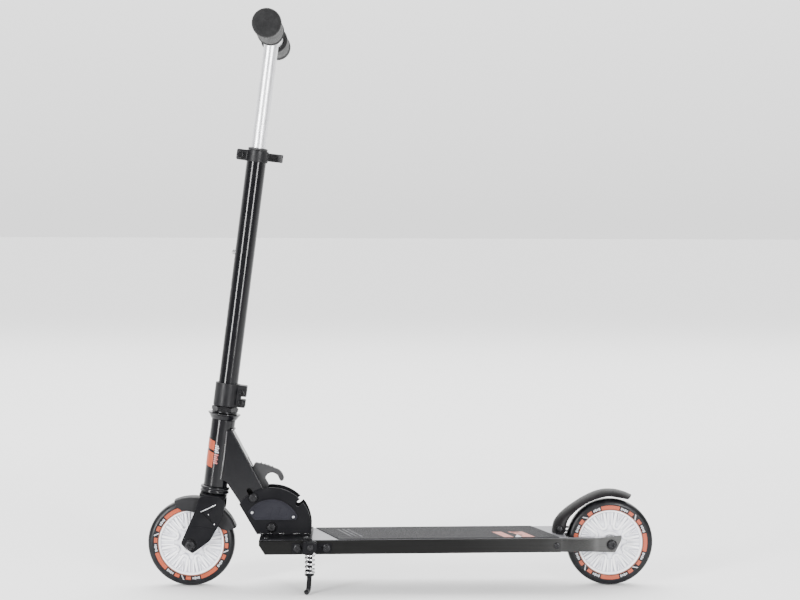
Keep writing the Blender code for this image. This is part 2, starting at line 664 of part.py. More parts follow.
def make_release_lever():
    """A hook for the thumb, with a shank that runs inside the neck down to the lock pin."""
    outline = [(-201.3, 170.6), (-185.0, 166.9), (-168.7, 160.2), (-164.8, 155.8), (-162.3, 149.2),
               (-163.2, 146.0), (-166.5, 144.2), (-168.7, 147.0), (-170.9, 152.3), (-174.1, 155.0),
               (-179.3, 156.8), (-185.0, 154.6), (-188.6, 149.2), (-182.8, 139.1), (-185.0, 135.1),
               (-189.5, 134.2), (-196.8, 125.4)]
    outline += arc(LOCK_PIN, 7.4, 0, -180, 6) + [(-212.6, 132.0), (-203.9, 168.1)]
    lever = plate("release_lever", outline, 8.0)
    hole = drum("lever_hole", NOTCH_HALF, -10, 10, 12, (LOCK_PIN.x, 0, LOCK_PIN.y), "Y")
    return cut(lever, hole)


lock_pin = turned("lock_pin", [
    (0, 22.2), (5.0, 22.0), (6.0, 20.6), (6.0, 18.8), (3.0, 18.8),
    (3.0, -18.8), (6.0, -18.8), (6.0, -20.6), (5.0, -22.0), (0, -22.2)], 12,
    (LOCK_PIN.x, 0, LOCK_PIN.y), "Y")
finish(lock_release, PLASTIC, make_release_lever())
finish(lock_release, DARK_STEEL, lock_pin)


# ---------------------------------------------------------------- fork

CROWN_LOW, CROWN_HIGH = 63.6, 68.0
LEG_IN, LEG_OUT = 21.5, 25.0
STEERER_R = 11.5


def make_fork():
    """A bent steel fork: crown, two legs with bosses for the bearings, and the steerer tube."""
    crown = plate("fork", [(-19.6, -17), (-12, -LEG_OUT), (9.5, -LEG_OUT), (17.4, -17),
                           (17.4, 17), (9.5, LEG_OUT), (-12, LEG_OUT), (-19.6, 17)],
                  CROWN_HIGH - CROWN_LOW, (0, 0, (CROWN_HIGH + CROWN_LOW) / 2), "Z", STEER)
    leg_outline = [(-12.0, CROWN_HIGH - 1), (-18.9, 62.0), (-20.6, 50.0), (-22.6, 42.0),
                   (-35.2, -1.2), (-35.3, -3.0), (-34.1, -4.8), (-20.4, -13.8), (-18.4, -14.2),
                   (-16.4, -13.5), (2.2, 4.3), (4.3, 7.2), (11.1, 24.3), (16.6, 40.9),
                   (17.4, 52.8), (16.8, 61.5), (9.0, CROWN_HIGH - 1)]
    parts = []
    for side in (-1, 1):
        parts.append(plate("leg", leg_outline, LEG_OUT - LEG_IN,
                           (0, side * (LEG_IN + LEG_OUT) / 2, 0), "Y", STEER))
        low, high = sorted((side * BOSS_Y, side * (LEG_OUT - 1)))
        parts.append(drum("boss", 6.2, low, high, 16, FRONT_AXLE, "Y"))
    parts.append(turned("steerer", [(STEERER_R, 222.0), (STEERER_R, CROWN_LOW + 1),
                                    (9.4, CROWN_LOW + 1), (9.4, 222.0)], 20, frame=STEER))
    parts.append(turned("race", [(14.5, 69.0), (14.5, CROWN_HIGH - 1), (10.5, CROWN_HIGH - 1),
                                 (10.5, 69.0)], 20, frame=STEER))
    fork = join(crown, *parts)
    bore = drum("steerer_bore", 9.4, CROWN_LOW - 5, CROWN_HIGH + 5, 20, frame=STEER)
    hole = drum("front_axle_hole", HOLE_R, -40, 40, 16, FRONT_AXLE, "Y")
    return cut(fork, bore, hole)


def make_front_fender():
    """A mudguard over the tyre, between the fork legs."""
    c = (FRONT_AXLE.x, FRONT_AXLE.z)
    count = 14

    def rim(start, end, r_start, r_end):
        return [(c[0] + r * math.cos(math.radians(a)), c[1] + r * math.sin(math.radians(a)))
                for a, r in zip(steps_along(start, end, count), steps_along(r_start, r_end, count))]
    top = rim(111, 19, 62.8, 65.6)
    skirt = [(c[0] + r * math.cos(math.radians(a)), c[1] + r * math.sin(math.radians(a)))
             for a, r in ((19, 52), (32, 43.5), (60, 42.5), (85, 43), (104, 45.5))]
    shell = plate("front_fender", top + skirt, 29.6)
    inner = rim(125, 5, 61.2, 64.2)
    room = inner + [(c[0] + 70, c[1] - 10), (c[0], c[1] - 10), (c[0] - 60, c[1] + 10)]
    return cut(shell, plate("fender_room", room, 26.2))


front_axle_bolt = cap_bolt("front_axle_bolt", (FRONT_AXLE.x, -LEG_OUT - GAP, FRONT_AXLE.z),
                           2 * LEG_OUT + 8.5, AXLE_R, 6.8, 4.4, 2.6)
front_axle_nut = hex_nut("front_axle_nut", (FRONT_AXLE.x, LEG_OUT + GAP, FRONT_AXLE.z),
                         6.5, 7.5, HOLE_R)
headset_nut = turned("headset_nut", [
    (18.4, 190.2), (18.4, 182.8), (17.0, 181.0), (13.6, 181.0), (13.6, 190.2)], 6, frame=STEER)
finish(steering, SATIN_BLACK, make_fork())
finish(steering, PLASTIC, make_front_fender())
finish(steering, DARK_STEEL, front_axle_bolt, front_axle_nut, headset_nut)


# ---------------------------------------------------------------- stem

STEM_OUT, STEM_IN = 13.5, 11.9
STEM_LOW, STEM_HIGH = 192.0, 544.8
CLAMP_LOW, CLAMP_HIGH = 190.6, 222.4
CLAMP_BOLTS = (197.5, 211.4)
CLAMP_BOLT_X = 20.6
CLIP_S = 403.0                  # the height button's place along the axis
HOLE_PITCH = 50.0


def make_stem_clamp():
    """A split collar with two ears at the back."""
    ring = turned("stem_clamp", [(17.2, CLAMP_HIGH), (17.2, CLAMP_LOW), (STEM_OUT + GAP, CLAMP_LOW),
                                 (STEM_OUT + GAP, CLAMP_HIGH)], 24, frame=STEER)
    ears = box("ears", (12.5, -9.5, CLAMP_LOW + 0.6), (27.0, 9.5, CLAMP_HIGH - 0.6), STEER)
    ring = join(ring, ears)
    bore = drum("clamp_bore", STEM_OUT + GAP, CLAMP_LOW - 5, CLAMP_HIGH + 5, 24, frame=STEER)
    slit = box("clamp_slit", (10, -1.5, CLAMP_LOW - 5), (30, 1.5, CLAMP_HIGH + 5), STEER)
    holes = [drum("clamp_hole", 2.8, -15, 15, 12, (CLAMP_BOLT_X, 0, s), "Y", STEER)
             for s in CLAMP_BOLTS]
    return cut(ring, bore, slit, *holes)


def make_stem_tube():
    tube = turned("stem_tube", [(STEM_OUT, STEM_HIGH), (STEM_OUT, STEM_LOW), (STEM_IN, STEM_LOW),
                                (STEM_IN, STEM_HIGH)], 24, frame=STEER)
    holes = [drum("height_hole", 4.2, -20, -5, 12, (0, 0, CLIP_S - HOLE_PITCH * i), "X", STEER)
             for i in range(3)]
    slit = box("stem_slit", (-20, -1.2, STEM_HIGH - 24), (-5, 1.2, STEM_HIGH + 5), STEER)
    return cut(tube, slit, *holes)


def make_height_clamp():
    """The quick-release collar at the top of the stem, with its two ears in front."""
    low, high = 529.0, 544.6
    ring = turned("height_clamp", [(15.3, high), (15.3, low), (STEM_OUT + GAP, low),
                                   (STEM_OUT + GAP, high)], 24, frame=STEER)
    ears = box("ears", (-28.0, -8.5, low + 0.4), (-12.0, 8.5, high - 0.4), STEER, bevel=0.8)
    ring = join(ring, ears)
    bore = drum("collar_bore", STEM_OUT + GAP, low - 5, high + 5, 24, frame=STEER)
    slit = box("collar_slit", (-30, -1.5, low - 5), (-10, 1.5, high + 5), STEER)
    hole = drum("skewer_hole", 2.8, -15, 15, 12, (SKEWER[0], 0, SKEWER[1]), "Y", STEER)
    return cut(ring, bore, slit, hole)


bush = turned("height_bush", [
    (12.6, 548.4), (13.4, 547.6), (13.4, STEM_HIGH + GAP), (11.5, STEM_HIGH + GAP), (11.5, 518.0),
    (10.35, 518.0), (10.35, 548.4)], 20, frame=STEER)
skewer = turned("clamp_skewer", [
    (0, CAM_Y + 1.5), (2.5, CAM_Y + 1.5), (2.5, -8.8), (5.0, -8.8), (5.0, -12.2), (3.6, -13.4),
    (0, -13.4)], 12, (SKEWER[0], 0, SKEWER[1]), "Y", STEER)
clamp_bolts = [
    cap_bolt("stem_clamp_bolt_" + name, (CLAMP_BOLT_X, -9.8, s), 19.0, 2.5, 4.2, 3.2, 2.1, STEER)
    for name, s in zip(("lower", "upper"), CLAMP_BOLTS)]
finish(steering, SATIN_BLACK, make_stem_clamp(), make_height_clamp())
finish(steering, GLOSS_BLACK, make_stem_tube())
finish(steering, PLASTIC, bush)
finish(steering, DARK_STEEL, skewer, *clamp_bolts)


def make_qr_lever():
    """The cam, slotted for the skewer, and the handle that wraps round behind the stem."""
    centre_line = [(-25.5, 19.0), (-10.0, 20.6), (6.0, 21.0), (17.0, 19.6), (27.0, 15.6),
                   (34.6, 11.4)]
    outline = inset(centre_line, -1.7) + inset(centre_line, 1.7)[::-1]
    handle = plate("quick_release_lever", outline, 11.4, (0, 0, SKEWER[1] + 2.0), "Z", STEER)
    cam = drum("cam", CAM_R, -6.2, 7.2, 16, (SKEWER[0], CAM_Y, SKEWER[1]), "Z", STEER)
    handle = join(handle, cam)
    centre = (SKEWER[0], CAM_Y)
    swing = arc(centre, CAM_R + 2, -45, -240, 8) + arc(centre, 3.8, 120, -45, 8)
    way = plate("cam_slot", swing, 5.8, (0, 0, SKEWER[1]), "Z", STEER)
    return cut(handle, way)


finish(qr_swing, PLASTIC, make_qr_lever())


# ---------------------------------------------------------------- handlebar

INNER_R = 10.0
TEE_R, TEE_BORE = 12.6, 11.1
TEE_HALF = 51.5
BAR_R, BAR_BORE = 10.8, 9.2


def make_inner_tube():
    """The sliding tube with the cross sleeve welded to its top."""
    tube = drum("inner_tube", INNER_R, 385.0, BAR_S, 20, frame=STEER)
    sleeve = drum("sleeve", TEE_R, -TEE_HALF, TEE_HALF, 20, (0, 0, BAR_S), "Y", STEER)
    tube = join(tube, sleeve)
    inside = drum("inside", 8.3, 380.0, BAR_S - 9.0, 16, frame=STEER)
    bore = drum("sleeve_bore", TEE_BORE, -60, 60, 20, (0, 0, BAR_S), "Y", STEER)
    clip_hole = drum("clip_hole", 4.2, -15, -5, 12, (0, 0, CLIP_S), "X", STEER)
    snap_holes = [drum("snap_hole", 3.3, -20, -5, 12, (0, side * SNAP_Y, BAR_S), "Z", STEER)
                  for side in (-1, 1)]
    return cut(tube, inside, bore, clip_hole, *snap_holes)


def make_height_clip():
    """A leaf spring inside the tube, whose button comes out through both tubes."""
    button = turned("height_clip", [(0, -6.8), (3.7, -6.8), (3.7, -16.4), (2.6, -17.6), (0, -17.6)],
                    12, (0, 0, CLIP_S), "X", STEER)
    leaf = box("leaf", (-7.4, -2.6, CLIP_S - 6), (-6.4, 2.6, CLIP_S + 34), STEER)
    bend = box("bend", (-7.0, -2.4, CLIP_S + 33), (7.0, 2.4, CLIP_S + 33.9), STEER)
    back = box("back", (6.4, -2.6, CLIP_S - 6), (7.4, 2.6, CLIP_S + 34), STEER)
    return join(button, leaf, bend, back)


def make_handlebar(name, side):
    low, high = sorted((side * 14.0, side * 171.0))
    bar = turned(name, [(BAR_R, high), (BAR_R, low), (BAR_BORE, low), (BAR_BORE, high)], 20,
                 (0, 0, BAR_S), "Y", STEER)
    return cut(bar, drum("bar_hole", 3.3, -20, -5, 12, (0, side * SNAP_Y, BAR_S), "Z", STEER))


def make_grip(name, side):
    """A foam grip with a swollen middle, two rings and a closed outer end."""
    profile = [(0, 171.4), (BAR_R + GAP, 171.4), (BAR_R + GAP, 52.0), (15.4, 52.0), (18.2, 53.6),
               (18.6, 57.0), (17.0, 63.0), (18.4, 105.0), (17.0, 154.0), (19.2, 162.0),
               (19.4, 170.0), (15.6, BAR_HALF_W), (0, BAR_HALF_W)]
    return turned(name, [(r, side * y) for r, y in profile], 20, (0, 0, BAR_S), "Y", STEER)


def make_snap_button(name, side):
    return turned(name, [(0, -6.0), (2.9, -6.0), (2.9, -13.8), (2.0, -15.0), (0, -15.0)], 12,
                  (0, side * SNAP_Y, BAR_S), "Z", STEER)


finish(height, BRUSHED, make_inner_tube())
finish(height, STEEL, make_height_clip())
for side_name, sign in (("left", -1), ("right", 1)):
    finish(height, BRUSHED, make_handlebar("handlebar_" + side_name, sign))
    finish(height, FOAM, make_grip("grip_" + side_name, sign))
    finish(snaps[side_name], STEEL, make_snap_button("snap_button_" + side_name, sign))
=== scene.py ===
"""The looks of a folding kick scooter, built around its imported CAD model.

Lengths are millimetres in the CAD model's frame; the helpers turn them into metres.
Front is -X, rear is +X, the rider's left is -Y and up is +Z.
"""

import json
import math

import bmesh
import bpy
from mathutils import Matrix, Vector


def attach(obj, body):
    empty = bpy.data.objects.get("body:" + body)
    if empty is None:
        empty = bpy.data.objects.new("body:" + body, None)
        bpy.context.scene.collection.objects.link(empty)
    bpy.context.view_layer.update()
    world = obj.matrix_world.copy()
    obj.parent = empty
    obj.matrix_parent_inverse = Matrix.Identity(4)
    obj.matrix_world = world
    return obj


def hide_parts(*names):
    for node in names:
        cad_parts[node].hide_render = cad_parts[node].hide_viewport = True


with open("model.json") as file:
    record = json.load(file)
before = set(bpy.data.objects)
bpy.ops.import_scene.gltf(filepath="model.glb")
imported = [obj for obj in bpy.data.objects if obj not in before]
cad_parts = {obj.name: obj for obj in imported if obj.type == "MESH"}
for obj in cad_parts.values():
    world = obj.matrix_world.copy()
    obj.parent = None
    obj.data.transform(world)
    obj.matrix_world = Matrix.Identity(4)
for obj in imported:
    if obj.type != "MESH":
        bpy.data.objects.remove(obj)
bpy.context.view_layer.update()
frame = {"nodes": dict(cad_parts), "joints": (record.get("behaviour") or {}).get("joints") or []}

MM = 0.001
GAP = 0.3                       # air left between parts that touch in the real object
SHARP_FROM = math.radians(32)   # edges at a sharper angle than this stay crisp

# ---------------------------------------------------------------- places from the frame

JOINTS = {joint["name"]: joint for joint in frame["joints"]}


def joint_point(name):
    return Vector(JOINTS[name]["pos_m"]) / MM


FRONT_AXLE = joint_point("front_wheel_spin")
REAR_AXLE = joint_point("rear_wheel_spin")
PIVOT = joint_point("fold")
STAND_PIVOT = joint_point("kickstand")
BRAKE_PIVOT = joint_point("brake")
HEAD_ANGLE = math.atan2(JOINTS["steering"]["axis"][0], JOINTS["steering"]["axis"][2])
DECK_RISE = math.radians(0.45)

WORLD = Matrix.Identity(4)
STEER = Matrix.Translation(joint_point("steering") * MM) @ Matrix.Rotation(HEAD_ANGLE, 4, "Y")
DECK = Matrix.Translation((0, 0, 71.3 * MM)) @ Matrix.Rotation(-DECK_RISE, 4, "Y")

ALONG = {"X": Matrix.Rotation(math.pi / 2, 4, "Y"),
         "Y": Matrix.Rotation(-math.pi / 2, 4, "X"),
         "Z": WORLD}
FACING = {"X": Matrix(((0, 0, 1, 0), (1, 0, 0, 0), (0, 1, 0, 0), (0, 0, 0, 1))),
          "Y": Matrix.Rotation(math.pi / 2, 4, "X"),
          "Z": WORLD}
SIDES = (("left", -1), ("right", 1))


# ---------------------------------------------------------------- materials

def gradient(tree, coordinate, axis, *stops):
    """Grey levels along one axis of a coordinate, given as (position, level) stops."""
    split = tree.nodes.new("ShaderNodeSeparateXYZ")
    tree.links.new(coordinate, split.inputs["Vector"])
    ramp = tree.nodes.new("ShaderNodeValToRGB")
    low, high = stops[0][0], stops[-1][0]
    span = tree.nodes.new("ShaderNodeMapRange")
    span.inputs["From Min"].default_value = low
    span.inputs["From Max"].default_value = high
    tree.links.new(split.outputs[axis], span.inputs["Value"])
    tree.links.new(span.outputs["Result"], ramp.inputs["Fac"])
    elements = ramp.color_ramp.elements
    while len(elements) < len(stops):
        elements.new(0.5)
    for element, (position, level) in zip(elements, stops):
        element.position = (position - low) / (high - low)
        element.color = (level, level, level, 1)
    return ramp.outputs["Color"]


def multiplied(tree, first, second):
    """Two colours multiplied."""
    both = tree.nodes.new("ShaderNodeMix")
    both.data_type = "RGBA"
    both.blend_type = "MULTIPLY"
    both.inputs["Factor"].default_value = 1.0
    tree.links.new(first, both.inputs["A"])
    tree.links.new(second, both.inputs["B"])
    return both.outputs["Result"]


class Look:
    """A material under construction: a Principled shader and the nodes that feed it."""

    def __init__(self, name, colour, roughness, metallic=0.0, **constants):
        self.material = bpy.data.materials.new(name)
        self.material.use_nodes = True
        self.tree = self.material.node_tree
        self.shader = self.tree.nodes["Principled BSDF"].inputs
        self.shader["Base Color"].default_value = (*colour, 1)
        self.shader["Roughness"].default_value = roughness
        self.shader["Metallic"].default_value = metallic
        for socket, value in constants.items():
            self.shader[socket.replace("_", " ")].default_value = value
        self.place = self.tree.nodes.new("ShaderNodeTexCoord").outputs["Object"]

    def node(self, kind, links, **values):
        """A node with its sockets set to numbers, and linked from other nodes' outputs."""
        made = self.tree.nodes.new("ShaderNode" + kind)
        for socket, value in values.items():
            made.inputs[socket.replace("_", " ")].default_value = value
        for socket, output in links.items():
            self.tree.links.new(output, made.inputs[socket])
        return made

    def noise(self, scale, detail, roughness=0.5, where=None):
        links = {"Vector": where or self.place}
        return self.node("TexNoise", links, Scale=scale, Detail=detail,
                         Roughness=roughness).outputs["Fac"]

    def cells(self, scale):
        return self.node("TexVoronoi", {"Vector": self.place}, Scale=scale).outputs["Distance"]

    def lines(self, stretch, detail, turn=(0, 0, 0)):
        """Noise stretched into lines along the axis with the smallest scale."""
        drawn = self.node("Mapping", {"Vector": self.place}, Scale=stretch, Rotation=turn)
        return self.noise(1.0, detail, where=drawn.outputs["Vector"])

    # Painted shade: a pattern that darkens where other surfaces are near, as in hollows and
    # valleys
    def hollows(self, distance):
        return self.node("AmbientOcclusion", {}, Distance=distance).outputs["AO"]

    def tint(self, value, *stops):
        """Colours, given as (position, colour) stops, for the values of a pattern."""
        ramp = self.node("ValToRGB", {"Fac": value})
        elements = ramp.color_ramp.elements
        while len(elements) < len(stops):
            elements.new(0.5)
        for element, (position, colour) in zip(elements, stops):
            element.position = position
            element.color = (*colour, 1)
        return ramp.outputs["Color"]

    def paint(self, colour):
        self.tree.links.new(colour, self.shader["Base Color"])

    def rough(self, value, low, high):
        """Roughness from low to high, as a pattern goes over its middle range."""
        made = self.node("MapRange", {"Value": value}, From_Min=0.3, From_Max=0.7, To_Min=low,
                         To_Max=high)
        self.tree.links.new(made.outputs["Result"], self.shader["Roughness"])

    def bump(self, pattern, strength, distance):
        """A bump, distance in metres, on top of the bumps made before."""
        made = self.node("Bump", {"Height": pattern}, Strength=strength, Distance=distance)
        for link in self.shader["Normal"].links:
            self.tree.links.new(link.from_socket, made.inputs["Normal"])
        self.tree.links.new(made.outputs["Normal"], self.shader["Normal"])


def surface(name, slot, colour, roughness, metallic=0.0, tint=None, rough=None, bumps=(),
            **constants):
    """A material from patterns, each the name of one of Look's and what it takes.

    tint is a pattern and its colour stops, rough is a pattern with its low and high end, and
    each bump is a pattern with its strength and distance.
    """
    look = Look(name, colour, roughness, metallic, **constants)

    def pattern(kind, *values):
        return getattr(look, kind)(*values)

    if tint:
        look.paint(look.tint(pattern(*tint[0]), *tint[1:]))
    if rough:
        look.rough(pattern(*rough[0]), *rough[1:])
    for source, strength, distance in bumps:
        look.bump(pattern(*source), strength, distance)
    return look.material


def satin_black(name, shine):
    """Black powder coat: a fine pebbled surface with slightly uneven gloss."""
    return surface(name, "satin_black", (0.005, 0.005, 0.006), 0.40,
                   tint=(("noise", 35, 4), (0.35, (0.004, 0.004, 0.005)),
                         (0.75, (0.008, 0.008, 0.009))),
                   rough=(("noise", 90, 4), 0.32, 0.48),
                   bumps=((("noise", 1600, 2), 0.12, 0.0002),), Specular_IOR_Level=shine)


def deck_black():
    """Drawn extrusion, black anodised, with a painted reflection: its colour lightens from black
    to dark grey towards the tail.
    """
    look = Look("deck_black_anodised", (0.02, 0.02, 0.02), 0.36, 0.9)
    lines = look.lines((6, 900, 900), 3)
    # Painted reflection: lighter towards the tail, where a lamp's reflection would lie on the side
    painted_reflection = gradient(look.tree, look.place, "X", (0.08, 0.011), (0.19, 0.020), (0.24, 0.044),
                    (0.30, 0.076))
    streak = look.tint(lines, (0.3, (0.78, 0.78, 0.76)), (0.7, (1, 1, 1)))
    look.paint(multiplied(look.tree, painted_reflection, streak))
    look.rough(lines, 0.28, 0.42)
    look.bump(lines, 0.06, 0.0002)
    return look.material


def brushed(name, colour, stretch, rough_low, rough_high):
    """Aluminium with fine drawn lines along one axis."""
    lines = ("lines", stretch, 4)
    darker = tuple(c * 0.86 for c in colour)
    return surface(name, "brushed", colour, 0.3, 1.0, tint=(lines, (0.3, darker), (0.7, colour)),
                   rough=(lines, rough_low, rough_high), bumps=((lines, 0.08, 0.0001),),
                   Anisotropic=0.4)


def printed(name, slot, colour):
    """Printed film: even colour with a weak halftone in it."""
    paler = tuple(min(1.0, c * 1.12 + 0.01) for c in colour)
    return surface(name, slot, colour, 0.38,
                   tint=(("cells", 2600), (0.2, colour), (0.8, paler)),
                   rough=(("noise", 200, 3), 0.32, 0.46),
                   bumps=((("noise", 1200, 2), 0.03, 0.0001),))


def moulded(name, slot, colour, shine, rough_low=0.38, rough_high=0.56):
    """Injection-moulded plastic with a fine spark-eroded texture."""
    paler = tuple(c * 1.35 + 0.002 for c in colour)
    return surface(name, slot, colour, 0.45,
                   tint=(("noise", 60, 4), (0.3, colour), (0.8, paler)),
                   rough=(("noise", 120, 3), rough_low, rough_high),
                   bumps=((("noise", 1800, 3), 0.16, 0.0002),), Specular_IOR_Level=shine)


# Glossy stove enamel on steel tube, with a faint orange peel and dust
GLOSS = surface(
    "gloss_black_paint", "gloss_black", (0.004, 0.004, 0.005), 0.16,
    tint=(("noise", 420, 3), (0.45, (0.003, 0.003, 0.004)), (0.85, (0.008, 0.008, 0.009))),
    rough=(("noise", 60, 4), 0.10, 0.20), bumps=((("noise", 900, 2), 0.05, 0.0002),),
    Specular_IOR_Level=0.28)
SATIN = satin_black("satin_black_coat", 0.06)
CAST = satin_black("satin_black_casting", 0.20)
DECK_SIDE = deck_black()
DECK_TOP = brushed("deck_brushed_silver", (0.17, 0.17, 0.18), (10, 700, 700), 0.34, 0.50)
POLISHED = brushed("deck_polished_edge", (0.46, 0.46, 0.47), (10, 500, 500), 0.08, 0.16)
BAR_SILVER = brushed("handlebar_tube_silver", (0.72, 0.72, 0.74), (600, 12, 600), 0.3, 0.42)
# Clear anodised aluminium tube: pale, satin, with a faint length-wise grain
TUBE_GRAIN = ("lines", (500, 500, 12), 3, (0, HEAD_ANGLE, 0))
SILVER = surface(
    "satin_silver_anodised", "brushed", (0.78, 0.78, 0.80), 0.36, 0.9,
    tint=(TUBE_GRAIN, (0.25, (0.70, 0.70, 0.72)), (0.75, (0.80, 0.80, 0.82))),
    rough=(TUBE_GRAIN, 0.30, 0.44), bumps=((("noise", 1400, 2), 0.06, 0.0001),))
STEEL = surface(
    "zinc_plated_steel", "steel", (0.55, 0.55, 0.57), 0.30, 1.0,
    tint=(("noise", 240, 4), (0.3, (0.46, 0.46, 0.47)), (0.7, (0.62, 0.62, 0.64))),
    rough=(("noise", 500, 3), 0.22, 0.42), bumps=((("noise", 1500, 2), 0.08, 0.0001),))
# Black oxide screws
DARK = surface(
    "black_oxide_steel", "dark_steel", (0.03, 0.03, 0.032), 0.30, 0.8,
    tint=(("noise", 500, 4), (0.35, (0.014, 0.014, 0.015)), (0.8, (0.028, 0.028, 0.030))),
    rough=(("noise", 300, 3), 0.20, 0.38), bumps=((("noise", 1800, 2), 0.08, 0.0001),))
CHROME = surface("bright_chrome", "chrome", (0.62, 0.62, 0.63), 0.07, 1.0,
                 rough=(("noise", 300, 3), 0.08, 0.18),
                 bumps=((("noise", 700, 2), 0.02, 0.0001),))
# The tyre: smooth black polyurethane with a soft sheen and faint scuffs
SCUFFS = ("noise", 140, 5, 0.6)
TYRE = surface(
    "black_urethane", "tyre", (0.006, 0.006, 0.007), 0.34,
    tint=(SCUFFS, (0.45, (0.005, 0.005, 0.006)), (0.8, (0.012, 0.012, 0.014))),
    rough=(SCUFFS, 0.26, 0.46), bumps=((("noise", 900, 2), 0.05, 0.0001),),
    Specular_IOR_Level=0.2)
# Glossy white nylon, with painted shade: an occlusion pattern darkens its valleys to blue-grey
WHITE = surface(
    "glossy_white_nylon", "white", (0.80, 0.80, 0.83), 0.16,
    tint=(("hollows", 0.006), (0.3, (0.50, 0.50, 0.56)), (0.75, (0.80, 0.80, 0.84)),
          (1.0, (0.88, 0.88, 0.90))),
    rough=(("noise", 180, 3), 0.10, 0.22), bumps=((("noise", 260, 2), 0.04, 0.0002),),
    Coat_Weight=0.3, Coat_Roughness=0.05)
ORANGE = printed("orange_print", "badge", (0.27, 0.034, 0.003))
PALE_PRINT = printed("pale_print", "badge", (0.34, 0.34, 0.36))
PINK_PRINT = printed("faded_red_print", "badge", (0.30, 0.08, 0.07))
ORANGE_RING = printed("burnt_orange_lip", "tyre", (0.20, 0.06, 0.03))
# Closed-cell foam rubber: matt, with fine pores and a dusty sheen
FOAM = surface(
    "grip_foam_rubber", "foam", (0.0060, 0.0060, 0.0065), 0.78,
    tint=(("noise", 180, 4), (0.35, (0.0045, 0.0045, 0.0050)), (0.7, (0.0090, 0.0090, 0.0095))),
    rough=(("noise", 80, 3), 0.68, 0.88),
    bumps=((("cells", 1500), 0.35, 0.0003), (("noise", 500, 3), 0.2, 0.0003)),
    Sheen_Weight=0.08, Sheen_Roughness=0.5, Specular_IOR_Level=0.25)
# Grip tape: sharp dark grains, some of them glinting, on a grey ground
GRIT = surface(
    "grip_tape_grit", "tape", (0.04, 0.04, 0.043), 0.85,
    tint=(("cells", 1300), (0.0, (0.062, 0.062, 0.065)), (0.35, (0.028, 0.028, 0.030)),
          (0.7, (0.012, 0.012, 0.013))),
    rough=(("noise", 900, 2), 0.55, 0.95),
    bumps=((("cells", 1300), 0.8, 0.0006), (("noise", 2200, 2), 0.4, 0.0003)),
    Specular_IOR_Level=0.12)
PLASTIC = moulded("black_moulded_plastic", "plastic", (0.018, 0.018, 0.019), 0.3)
FENDER = moulded("fender_plastic", "satin_black", (0.008, 0.0075, 0.008), 0.05, 0.24, 0.36)
MUDGUARD = moulded("mudguard_plastic", "plastic", (0.012, 0.012, 0.013), 0.11)
BADGE = moulded("grey_badge_plastic", "badge", (0.010, 0.010, 0.0135), 0.10)
# Painted weld ripples, with a few pale speckles painted into the colour as glints
WELD = surface(
    "painted_weld", "gloss_black", (0.02, 0.02, 0.021), 0.14,
    tint=(("noise", 420, 4), (0.66, (0.006, 0.006, 0.007)), (0.72, (0.30, 0.29, 0.28))),
    bumps=((("noise", 700, 3), 0.5, 0.0005),))


# ---------------------------------------------------------------- shape helpers

def add(name, data, matrix=WORLD):
    obj = bpy.data.objects.new(name, data)
    bpy.context.scene.collection.objects.link(obj)
    obj.matrix_world = matrix
    return obj


def place(at, frame_, turn):
    return frame_ @ Matrix.Translation(Vector(at) * MM) @ turn


def bake(obj):
    """The evaluated mesh, welded and facing out, in a new object of the same name."""
    bpy.context.view_layer.update()
    graph = bpy.context.evaluated_depsgraph_get()
    mesh = bpy.data.meshes.new_from_object(obj.evaluated_get(graph))
    shape = bmesh.new()
    shape.from_mesh(mesh)
    bmesh.ops.remove_doubles(shape, verts=shape.verts, dist=2e-6)
    bmesh.ops.recalc_face_normals(shape, faces=shape.faces)
    shape.to_mesh(mesh)
    shape.free()
    name, matrix = obj.name, obj.matrix_world.copy()
    bpy.data.objects.remove(obj, do_unlink=True)
    return add(name, mesh, matrix)


def soften(points, radius, closed=True, steps=3):
    """Round the corners of an outline; short sides limit their corners' radius."""
    made, count = [], len(points)
    for i, point in enumerate(points):
        if not closed and i in (0, count - 1):
            made.append(tuple(point))
            continue
        here, a, b = Vector(point), Vector(points[i - 1]), Vector(points[(i + 1) % count])
        reach = min(radius, (a - here).length * 0.49, (b - here).length * 0.49)
        start = here + (a - here).normalized() * reach
        end = here + (b - here).normalized() * reach
        for j in range(steps + 1):
            t = j / steps
            made.append(tuple(start * (1 - t) ** 2 + here * 2 * t * (1 - t) + end * t * t))
    return made


def arc(centre, radius, start, end, count):
    """Points on a circle, angles in degrees."""
    return [(centre[0] + radius * math.cos(math.radians(start + (end - start) * i / count)),
             centre[1] + radius * math.sin(math.radians(start + (end - start) * i / count)))
            for i in range(count + 1)]


def mix(start, end, t):
    return start + (end - start) * t


def ease(t):
    t = min(max(t, 0.0), 1.0)
    return t * t * (3 - 2 * t)


def smooth_path(points, per_leg=6):
    """A Catmull-Rom curve through the points."""
    points = [Vector(p) for p in points]
    ends = [2 * points[0] - points[1]] + points + [2 * points[-1] - points[-2]]
    made = []
    for i in range(len(points) - 1):
        a, b, c, d = ends[i:i + 4]
        for j in range(per_leg):
            t = j / per_leg
            made.append(0.5 * (2 * b + (c - a) * t + (2 * a - 5 * b + 4 * c - d) * t * t
                               + (3 * b - a - 3 * c + d) * t ** 3))
    return made + [points[-1]]


def turned(name, profile, at=(0, 0, 0), along="Z", frame_=WORLD, round_=0.5, steps=72):
    """A turned piece from (radius, height) points, its corners rounded."""
    ring = min(r for r, _ in profile) > 0
    profile = soften(profile, round_, closed=ring)
    mesh = bpy.data.meshes.new(name)
    links = [(i, i + 1) for i in range(len(profile) - 1)]
    if ring:
        links.append((len(profile) - 1, 0))
    mesh.from_pydata([(max(r, 0) * MM, 0, h * MM) for r, h in profile], links, [])
    obj = add(name, mesh, place(at, frame_, ALONG[along]))
    screw = obj.modifiers.new("Screw", "SCREW")
    screw.steps = screw.render_steps = steps
    screw.use_merge_vertices = True
    screw.merge_threshold = 0.00001
    return bake(obj)


